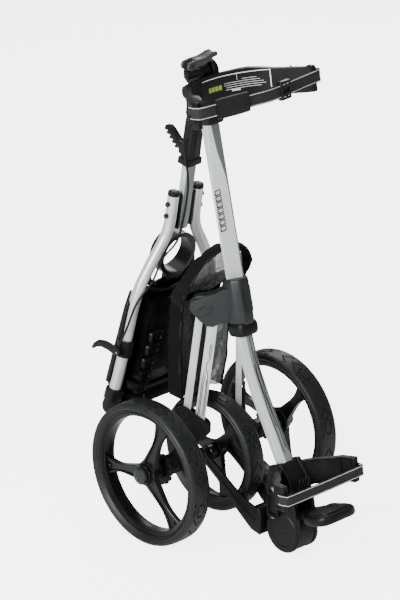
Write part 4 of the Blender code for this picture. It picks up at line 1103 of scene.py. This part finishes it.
keep("foot_casting", [at(WINGS, together(*lips)), *foot, lug], "black_moulding", "frame",
     hides=["lower_bracket"])
covers = []
for name, side in SIDES:
    disc = turned([(0, 0.0010), (0.0060, 0.0010), (0.0068, 0.0002), (0.0300, 0.0002),
                   (0.0310, 0.0016), (0.0395, 0.0016), (0.0415, 0.0), (0.0415, -0.002),
                   (0, -0.002)], 64)
    covers.append(at(joint_frame("front_fork_fold") @ shift(side * 0.0284, 0, 0)
                     @ turn(90 * side, "Y"), disc))
keep("hinge_covers", covers, "black_moulding", "frame")
cage = [brick((0, 0, z), (0.0205, 0.0205, 0.006), 0.0015) for z in (-0.0235, 0.0235)]
cage += [brick((0.0085 * x, 0.0085, 0), (0.003, 0.003, 0.044), 0.0006) for x in (-1, 1)]
keep("plunger_cage", cage, "black_moulding", "frame", spot(-0.034, -0.200, 0.102))
plunger = together(rod(0.0050, -0.031, 0.031), at(shift(0, 0, 0.0290), rod(0.0060, 0, 0.004)),
                   at(shift(0, 0, -0.0330), rod(0.0060, 0, 0.004)))
keep("lock_plunger", plunger, "zinc_plate", "frame", spot(-0.034, -0.199, 0.104),
     ["fork_lock_plunger"])

# %% [markdown]
# ## The front fork
# Two flat arms reach from the hinge round the front wheel. Each arm is one outline cut as a plate.
# A rib is swept along its middle, and short ribs cross it, as on the moulded face of the real one.

# %% Hinge drum, neck, yoke and ribbed arms
fork_parts = [at(spot(0, HINGE_Y, HINGE_Z) @ ALONG_X, rod(0.0425, -0.0180, 0.0180, 0.0016, 64))]
neck = [(-0.246, 0.040), (-0.222, 0.022), (-0.150, 0.023), (-0.136, 0.034), (-0.142, 0.066),
        (-0.176, 0.074), (-0.200, 0.074)]
fork_parts.append(side_plate(0, neck, 0.0350, 0.0020, 3))
yoke = [(-0.166, 0.022), (-0.146, 0.024), (-0.130, 0.040), (-0.136, 0.072), (-0.158, 0.078),
        (-0.166, 0.070)]
fork_parts.append(side_plate(0, yoke, 0.0760, 0.0030, 3))
FORK_ARM = [(-0.164, 0.021), (-0.140, 0.026), (-0.120, 0.040), (-0.098, 0.056), (-0.075, 0.078),
            (-0.040, 0.104), (-0.010, 0.123), *arc(0, 0.137, 0.0158, -40, 160, 12),
            (-0.046, 0.127), (-0.078, 0.105), (-0.104, 0.091), (-0.130, 0.080), (-0.160, 0.073)]
middle_line = [(-0.150, 0.050), (-0.122, 0.061), (-0.090, 0.079), (-0.050, 0.108),
               (-0.016, 0.130)]
for name, side in SIDES:
    place = spot(side * 0.0340, 0, 0) @ SIDEWAYS
    fork_parts.append(at(place, plate(FORK_ARM, 0.0078, 0.0018, 3)))
    rib = swept(middle_line, [(out, up) for out, up in rounded(0.0034, 0.0112, 0.0012, 2)])
    fork_parts.append(at(place, rib))
    for reach, height in ((-0.142, 0.050), (-0.114, 0.062), (-0.086, 0.083), (-0.060, 0.103)):
        fork_parts.append(at(place @ shift(reach, height, 0) @ turn(125, "Z"),
                             block((0.020, 0.0026, 0.0102), 0.0008, 1)))
    fork_parts.append(at(spot(side * 0.0345, 0, 0.137) @ ALONG_X,
                         rod(0.0105, -0.0058, 0.0058, 0.0010, 32)))
keep("front_fork_arms", fork_parts, "black_moulding", "fork", hides=["fork"])

# %% [markdown]
# ## The bag rest
# A smooth tongue reaches forward under the bag, with a raised pad. It widens on the way and
# thins at its toe, so rounded sections of changing size are lofted from the casting outwards.

# %% Tongue and pad
REST = spot(0, -0.2570, 0.088) @ turn(-17, "X") @ turn(-90, "Z")
rings = []
for reach, half, thick in ((-0.004, 0.021, 0.0090), (0.012, 0.024, 0.0092), (0.028, 0.038, 0.0096),
                           (0.040, 0.0470, 0.0104), (0.060, 0.0500, 0.0108),
                           (0.078, 0.0485, 0.0106), (0.089, 0.0430, 0.0098),
                           (0.0955, 0.0340, 0.0082), (0.0978, 0.0230, 0.0060)):
    rings.append([(reach, y, z) for y, z in rounded(2 * half, 2 * thick, thick * 0.8, 4)])
keep("bag_tongue", lofted(rings), "black_moulding", "frame", REST, ["bag_rest"], angle=40)
pad = plate([(0.036, -0.030), (0.036, 0.030), (0.042, 0.035), *arc(0.076, 0.022, 0.013, 90, 0, 5),
             *arc(0.076, -0.022, 0.013, 0, -90, 5), (0.042, -0.035)], 0.0042, 0.0014, 3)
grips = [brick((0.042 + 0.008 * index, 0, 0.0021), (0.0026, 0.054, 0.0010), 0.0004)
         for index in range(6)]
keep("rest_pad", [pad, *grips], "tyre_rubber", "frame", REST @ shift(0, 0, 0.0112),
     ["bag_rest_pad"])

# %% [markdown]
# ## Handle: joint, bar and tubes
# Folded down, the handle hangs from the knuckles. A black sleeve with a rim grips a flat grey
# bar, and two round silver tubes are bolted to that bar through black caps and spacers. The tubes
# are swept circles, which bend as smoothly as the real ones.

# %% Sleeve and flat bar
def stack(levels, radius):
    return lofted([[(x, y, z) for x, y in rounded(width, depth, radius, 4)]
                   for z, width, depth in levels])


sleeve = stack(((-0.196, 0.036, 0.027), (-0.195, 0.040, 0.031), (-0.184, 0.040, 0.031),
                (-0.181, 0.0345, 0.0255), (-0.150, 0.0340, 0.0250), (-0.100, 0.0320, 0.0245),
                (-0.088, 0.0290, 0.0230)), 0.005)
knuckle = at(ALONG_X, rod(0.0163, -0.0124, 0.0124, 0.001, 40))
arm = plate([(-0.006, 0.010), (0.0160, 0.002), (0.0160, -0.092), (0.0080, -0.100),
             (-0.0030, -0.100), (0.0015, -0.085), (0.0082, -0.070), (0.0082, -0.022),
             (-0.010, -0.008)], 0.0250, 0.0016)
rib = brick((0, -0.0128, -0.140), (0.010, 0.0016, 0.078), 0.0006)
ears = [brick((-0.006 + 0.0078 * side, 0.0182, -0.160), (0.0038, 0.016, 0.0135), 0.001)
        for name, side in SIDES]
keep("handle_sleeve", [sleeve, knuckle, at(SIDEWAYS, arm), rib, *ears],
     "black_moulding", "handle", HANDLE, ["handle_joint"])
bar = stack(((-0.338, 0.020, 0.013), (-0.336, 0.024, 0.0155), (-0.300, 0.0258, 0.0168),
             (-0.200, 0.0258, 0.0168), (-0.1106, 0.0258, 0.0168)), 0.0035)
# The front and right faces of the bar take the copy of the lacquer with painted shade.
bar = paint(bar, lambda face: face.normal.y < -0.8 or face.normal.x > 0.3)
keep("flat_bar", bar, "silver_lacquer", "handle", HANDLE, ["handle_bar"],
     second="painted_shade_lacquer")

# %% Round tubes, caps, spacers and bolts
ROUTE = ((0.032, -0.2536), (0.0325, -0.290), (0.034, -0.322), (0.043, -0.352), (0.069, -0.396),
         (0.092, -0.440), (0.1045, -0.485), (0.112, -0.550), (0.121, -0.620), (0.1305, -0.676))
spacers = []
for name, side in SIDES:
    route = flowing([(side * x, 0, z) for x, z in ROUTE], 5)
    keep(f"round_tube_{name}", tube(route, 0.0115, 24), "silver_lacquer", "handle", HANDLE,
         [f"handle_tube_{name}"], angle=40)
    cap = turned([(0, 0.0030), (0.0095, 0.0028), (0.0116, 0.0016), (0.0120, 0.0004),
                  (0.0120, -0.0046), (0.0116, -0.0050), (0, -0.0050)], 32)
    keep(f"tube_cap_{name}", cap, "black_moulding", "handle",
         HANDLE @ shift(side * 0.032, 0, -0.2520))
    spacers.append(brick((side * 0.0168, 0, -0.2960), (0.0078, 0.0170, 0.074), 0.002))
    heads = [at(shift(side * 0.0434, 0, z) @ turn(90 * side, "Y"),
                turned([(0, 0.0040), (0.0030, 0.0038), (0.0050, 0.0020), (0.0052, 0), (0, 0)], 24))
             for z in (-0.275, -0.300)]
    keep(f"tube_bolts_{name}", heads, "black_bolt", "handle", HANDLE)
keep("tube_spacers", spacers, "black_moulding", "handle", HANDLE)
print("handle tubes made")

# %% [markdown]
# ## Handle tray and cup ring
# Folded, the underside of the tray faces forward. The CAD tray has the real ball wells and
# pockets, so it stays. Over it go a column of raised cells on each side, a curved apron down to
# the grip, a rim that wraps the tubes, and above it the ring for a cup with its curved arms.
# Soft-edged boxes that taper give the moulded look.

# %% Raised cells, apron, rims and the cup ring
def raised_cell(x, z, width, height, low, high):
    """A soft box standing out towards the front, narrower at its face."""
    rings = []
    for share, y in ((1.0, low), (0.97, low - 0.4 * (low - high)), (0.90, high + 0.0014),
                     (0.80, high), (0.62, high + 0.0002), (0.56, high + 0.0022)):
        rings.append([(x + px * share, y, z + pz * share)
                      for px, pz in rounded(width, height, height * 0.22, 4)])
    return lofted(rings)


cells = []
for name, side in SIDES:
    for step in range(6):
        low = 0.0180 if step > 2 else -0.0145
        cells.append(raised_cell(side * (0.050 + 0.0062 * step), -0.5590 - 0.0272 * step, 0.036,
                                 0.0250, low, -0.0225))
APRON = [(0.106, -0.640), (0.1125, -0.682), (0.104, -0.699), (0.080, -0.7050), (0.040, -0.7065),
         (-0.040, -0.7065), (-0.080, -0.7050), (-0.104, -0.699), (-0.1125, -0.682),
         (-0.106, -0.640)]
apron = at(shift(0, 0.0180, 0) @ FACING, plate(APRON, 0.0080, 0.0025, 3))
curve = [(x, 0.0135, -0.697 + 3.0 * (abs(x) / 0.31) ** 2 * 0.06) for x in
         (-0.100, -0.075, -0.050, -0.025, 0, 0.025, 0.050, 0.075, 0.100)]
lip = tube(flowing(curve, 4), 0.0050, 12)
rims = []
for name, side in SIDES:
    edge = [(side * x, 0.019, z) for x, z in ((0.094, -0.462), (0.104, -0.500), (0.1145, -0.560),
                                              (0.1245, -0.620), (0.1300, -0.654))]
    rims.append(tube(flowing(edge, 4), 0.0056, 10))
    hook = flowing([(side * 0.010, 0.018, -0.462), (side * 0.040, 0.018, -0.462),
                    (side * 0.058, 0.016, -0.440), (side * 0.052, 0.015, -0.412),
                    (side * 0.040, 0.015, -0.400)], 4)
    rims.append(tube(hook, 0.0068, 12))
    arm = flowing([(side * 0.086, 0.010, -0.446), (side * 0.060, 0.004, -0.462),
                   (side * 0.030, 0.002, -0.472), (0, 0.002, -0.475)], 4)
    rims.append(tube(arm, 0.0062, 12))
keep("tray_cells", cells, "glossy_moulding", "handle", HANDLE)
keep("tray_rims", [apron, lip, *rims], "glossy_moulding", "handle", HANDLE)
ring = turned([(0.0380, -0.0175), (0.0450, -0.0178), (0.0462, -0.0150), (0.0452, 0.0110),
               (0.0470, 0.0130), (0.0470, 0.0165), (0.0380, 0.0165)], 64, ring=True)
keep("cup_ring", ring, "glossy_moulding", "handle", HANDLE @ shift(0, 0.014, -0.398) @ ALONG_Y,
     ["cup_holder"])
strips = []
for name, side in SIDES:
    strip_line = flowing([(side * x, 0.0060, z) for x, z in ((0.1130, -0.470), (0.1195, -0.505),
                                                             (0.1240, -0.550))], 5)
    strips.append(tube(strip_line, [0.0020] + [0.0060] * (len(strip_line) - 2) + [0.0050], 12))
keep("tray_side_strips", strips, "black_moulding", "handle", HANDLE)

# %% [markdown]
# ## Grip, brake lever, latch and cam lever
# The hands meet these pieces, so their edges are round. The grip is a foam sleeve swept along the
# bend of the handle. The levers are side views cut as plates and softened, which keeps the comb
# teeth of the latch crisp.

# %% Grip and levers
side_end = [(0.1312, 0.0, -0.680), (0.130, 0.006, -0.700), (0.118, 0.016, -0.716),
            (0.096, 0.022, -0.724)]
grip_line = flowing([(-x, y, z) for x, y, z in side_end] + [(0, 0.0225, -0.7245)]
                    + side_end[::-1], 5)
grip_radii = [0.0152 + 0.0003 * sin(index * 1.4) for index in range(len(grip_line))]
grip_piece = keep("foam_grip", tube(grip_line, grip_radii, 24), "soft_foam", "handle", HANDLE,
                  ["handle_grip"], angle=50)
collars = [at(shift(side * 0.1305, 0, -0.674) @ turn(-8 * side, "Y"),
              turned([(0.0119, -0.010), (0.0172, -0.010), (0.0180, -0.008), (0.0172, 0.012),
                      (0.0119, 0.014)], 32, ring=True)) for name, side in SIDES]
keep("grip_collars", collars, "black_moulding", "handle", HANDLE)

BRAKE = joint_frame("brake_lever_turn") @ turn(HANDLE_LEAN, "X")
blade = plate([(-0.006, -0.006), (0.008, -0.0085), (0.026, -0.0070), (0.044, -0.0090),
               (0.058, -0.0160), (0.0665, -0.0250), (0.0705, -0.0215), (0.066, -0.0100),
               (0.056, 0.0005), (0.040, 0.0070), (0.022, 0.0090), (0.006, 0.0080),
               (-0.006, 0.006)], 0.0080, 0.0022, 3)
keep("brake_blade", blade, "black_moulding", "brake_lever", BRAKE @ SIDEWAYS, ["brake_lever"])
LATCH = joint_frame("latch_lever_turn") @ turn(HANDLE_LEAN, "X")
comb = [(-0.0045, -0.0210), (0.0030, -0.0215), (0.0060, -0.0120)]
for step in range(4):
    x, y = 0.012 + 0.0085 * step, -0.0085 + 0.0062 * step
    comb += [(x - 0.0005, y - 0.0066), (x + 0.0038, y - 0.0062), (x + 0.0044, y - 0.0026),
             (x + 0.0020, y + 0.0010)]
comb += [(0.0468, 0.0090), (0.0490, 0.0135), (0.0455, 0.0205), (0.0360, 0.0240),
         (0.0260, 0.0205), (0.0160, 0.0140), (0.0060, 0.0075), (-0.0045, 0.0060)]
keep("latch_comb", plate(comb, 0.0098, 0.0011), "black_moulding", "latch_lever",
     LATCH @ SIDEWAYS, ["latch_lever"])
CAM = joint_frame("cam_lever_turn")
cam_side = (arc(0, 0, 0.0088, 75, 285, 10)
            + [(0.0100, -0.0070), (0.0200, -0.0048), (0.0300, -0.0044), (0.0400, -0.0026),
               (0.0500, 0.0012), (0.0580, 0.0058)]
            + arc(0.0632, 0.0106, 0.0050, -60, 110, 7)
            + [(0.0540, 0.0148), (0.0440, 0.0118), (0.0340, 0.0100), (0.0240, 0.0098),
               (0.0150, 0.0102), (0.0080, 0.0096)])
cheeks = [at(shift(0, y, 0) @ FACING, plate(cam_side, 0.0056, 0.0014, 3))
          for y in (-0.0087, 0.0087)]
thumb = at(FACING, plate([(0.0160, -0.0040), (0.0300, -0.0036), (0.0400, -0.0018),
                          (0.0500, 0.0022), (0.0590, 0.0076), (0.0665, 0.0110),
                          (0.0640, 0.0144), (0.0540, 0.0138), (0.0440, 0.0108),
                          (0.0340, 0.0090), (0.0240, 0.0088), (0.0160, 0.0092)], 0.0190,
                         0.0014, 3))
hole_rim = at(shift(0.0195, -0.0116, 0.0022) @ turn(90, "X"),
              turned([(0.0012, 0), (0.0026, 0.0007), (0.0034, 0)], 20, ring=True))
cheeks.append(hole_rim)
keep("cam_blade", [*cheeks, thumb], "grey_moulding", "cam_lever", CAM, ["cam_lever"])
bolt = together(at(shift(0, -0.0128, 0) @ turn(90, "X"),
                   turned([(0, 0.0022), (0.0030, 0.0022), (0.0048, 0.0010), (0.0050, 0),
                           (0, 0)], 24)),
                at(shift(0, -0.0118, 0) @ ALONG_Y, rod(0.0024, -0.024, 0.0)))
keep("cam_bolt", bolt, "black_bolt", "frame", CAM, ["cam_pin"])
print("levers made")

# %% [markdown]
# ## The cable
# A thin sheathed cable is clipped along the handle, from the brake clamp to the joint sleeve. It
# goes back into the object at both ends, so its route is fixed and its length is what the route
# measures: about forty-six centimetres.

# %% Cable along the handle
CABLE = flowing([(-0.138, -0.006, -0.560), (-0.128, -0.012, -0.520), (-0.112, -0.014, -0.470),
                 (-0.075, -0.014, -0.430), (-0.052, -0.010, -0.390), (-0.030, -0.022, -0.350),
                 (-0.022, -0.024, -0.300), (-0.020, -0.024, -0.240), (-0.022, -0.020, -0.205),
                 (-0.0235, -0.008, -0.170), (-0.0225, 0.000, -0.140)], 6)
route = [HANDLE @ point for point in CABLE]
cable = keep("brake_line", tube(route, 0.0022, 12), "black_moulding", "handle",
             hides=["brake_cable"], angle=60)

# %% [markdown]
# ## The accessory pouch
# Behind the hub hangs a pouch: a stiff charcoal band bent into an arch, and a net that sags from
# it in crumpled folds. The band is a strip lofted round the arch. Nets and cloths are grids pushed
# into folds by noise, so they hang unevenly, and the pale net can be seen through.

# %% Rim band and slack net
HALF_ARCH = [(0.054, 0.052, 0.252), (0.062, 0.048, 0.320), (0.065, 0.043, 0.390),
             (0.066, 0.038, 0.435), (0.070, 0.033, 0.458), (0.079, 0.018, 0.484),
             (0.080, 0.001, 0.508), (0.068, -0.009, 0.538), (0.042, -0.014, 0.561)]
ARCH = flowing([(-x, y, z) for x, y, z in HALF_ARCH] + [(0.004, -0.016, 0.5735)]
               + [(x + 0.003, y, z + 0.006) for x, y, z in HALF_ARCH[:5:-1]]
               + [(x, y, z) for x, y, z in HALF_ARCH[5::-1]], 5)


def band_rings(path, depth, thickness):
    """A flat band whose width runs front to back and whose thickness faces outwards."""
    rings = []
    last = len(path) - 1
    for index, point in enumerate(path):
        along = direction_at(path, index)
        wide = (Vector((0, 1, 0)) - along * along.y).normalized()
        thick = along.cross(wide)
        wrinkle = 0.0016 * sin(index * 0.9) + 0.0010 * sin(index * 2.3)
        rings.append([point + wide * across * depth(index / last) + thick * (up + wrinkle)
                      for across, up in ((-0.5, -thickness), (-0.46, -thickness * 1.3),
                                         (0.46, -thickness * 1.3), (0.5, -thickness),
                                         (0.5, thickness), (0.46, thickness * 1.3),
                                         (-0.46, thickness * 1.3), (-0.5, thickness))])
    return rings


band = lofted(band_rings(ARCH, lambda t: 0.026 + 0.012 * abs(2 * t - 1), 0.0012))
keep("pouch_band", band, "charcoal_cloth", "frame", AXLE, ["accessory_bag"], angle=50)
hem = tube([point + Vector((0, -0.0135, 0)) for point in ARCH[4:-4]], 0.0016, 8)
keep("pouch_hem", hem, "black_webbing", "frame", AXLE)


def edge_at(height, side):
    """The place on the band's centre line at a height, on one side."""
    path = [Vector((side * x, y, z)) for x, y, z in HALF_ARCH + [(0.004, -0.016, 0.5735)]]
    for low, high in zip(path, path[1:]):
        if low.z <= height <= high.z:
            return low.lerp(high, (height - low.z) / (high.z - low.z))
    return path[-1]


def slack_panel(name, finish_name, left, right, low, high, depth, swell, fold, seed):
    """A slack panel inside the arch; left and right are shares of its width."""
    shape = bmesh.new()
    bmesh.ops.create_grid(shape, x_segments=40, y_segments=60, size=0.5)
    layer = shape.verts.layers.float_vector.new("weave")
    for vert in shape.verts:
        u, v = vert.co.x + 0.5, vert.co.y + 0.5
        height = low + (high - low) * v
        start, end = edge_at(height, -1), edge_at(height, 1)
        point = start.lerp(end, left + (right - left) * u)
        slack = sin(pi * u) ** 0.5 * min(1.0, (1 - v) * 8)
        crumple = noise.noise(Vector((point.x * 34, height * 20, seed))) * fold
        fine = noise.noise(Vector((point.x * 120, height * 90, seed + 4))) * fold * 0.35
        vert[layer] = (point.x, height, 0)
        vert.co = point + Vector((fine * slack * 0.6, depth + swell * slack
                                  + (crumple + fine) * slack, 0))
    area = sum(face.calc_area() for face in shape.faces)
    bmesh.ops.solidify(shape, geom=shape.faces, thickness=0.0006)
    piece = keep(name, shape, finish_name, "frame", AXLE, angle=60)


slack_panel("pouch_net_window", "grey_net", 0.02, 0.98, 0.470, 0.568, 0.002, 0.004, 0.012, 1.0)
slack_panel("pouch_front_cloth", "dark_net", 0.01, 0.56, 0.256, 0.474, -0.015, -0.003, 0.008, 3.0)
slack_panel("pouch_net_front", "grey_net", 0.50, 0.98, 0.262, 0.440, -0.017, -0.004, 0.016, 5.0)
slack_panel("pouch_back_cloth", "dark_net", 0.02, 0.98, 0.256, 0.500, 0.018, 0.010, 0.010, 7.0)
print("pouch made")

# %% [markdown]
# ## Finishes for the CAD nodes that stay
# Pins, axles and the plainest mouldings are already the right shape. They only take the finish
# that the real part has.

# %% Give carried nodes their finish
CARRIED = {
    "black_moulding": ["brake_clamp"],
    "glossy_moulding": ["console"],
    "zinc_plate": ["fork_hinge_pin", "handle_hinge_pin", "rear_axle_left", "rear_axle_right",
                   "wheel_bearing_left", "wheel_bearing_right", "front_axle",
                   "brake_lever_pin", "latch_pin"],
    "black_bolt": ["leg_pin_inner_left", "leg_pin_outer_left", "leg_pin_inner_right",
                   "leg_pin_outer_right", "handle_bolt_1", "handle_bolt_2"],
}
for finish_name, names in CARRIED.items():
    for name in names:
        frame["nodes"][name].material_slots[0].material = finishes[finish_name]
print(sum(map(len, CARRIED.values())), "CAD nodes carried over")
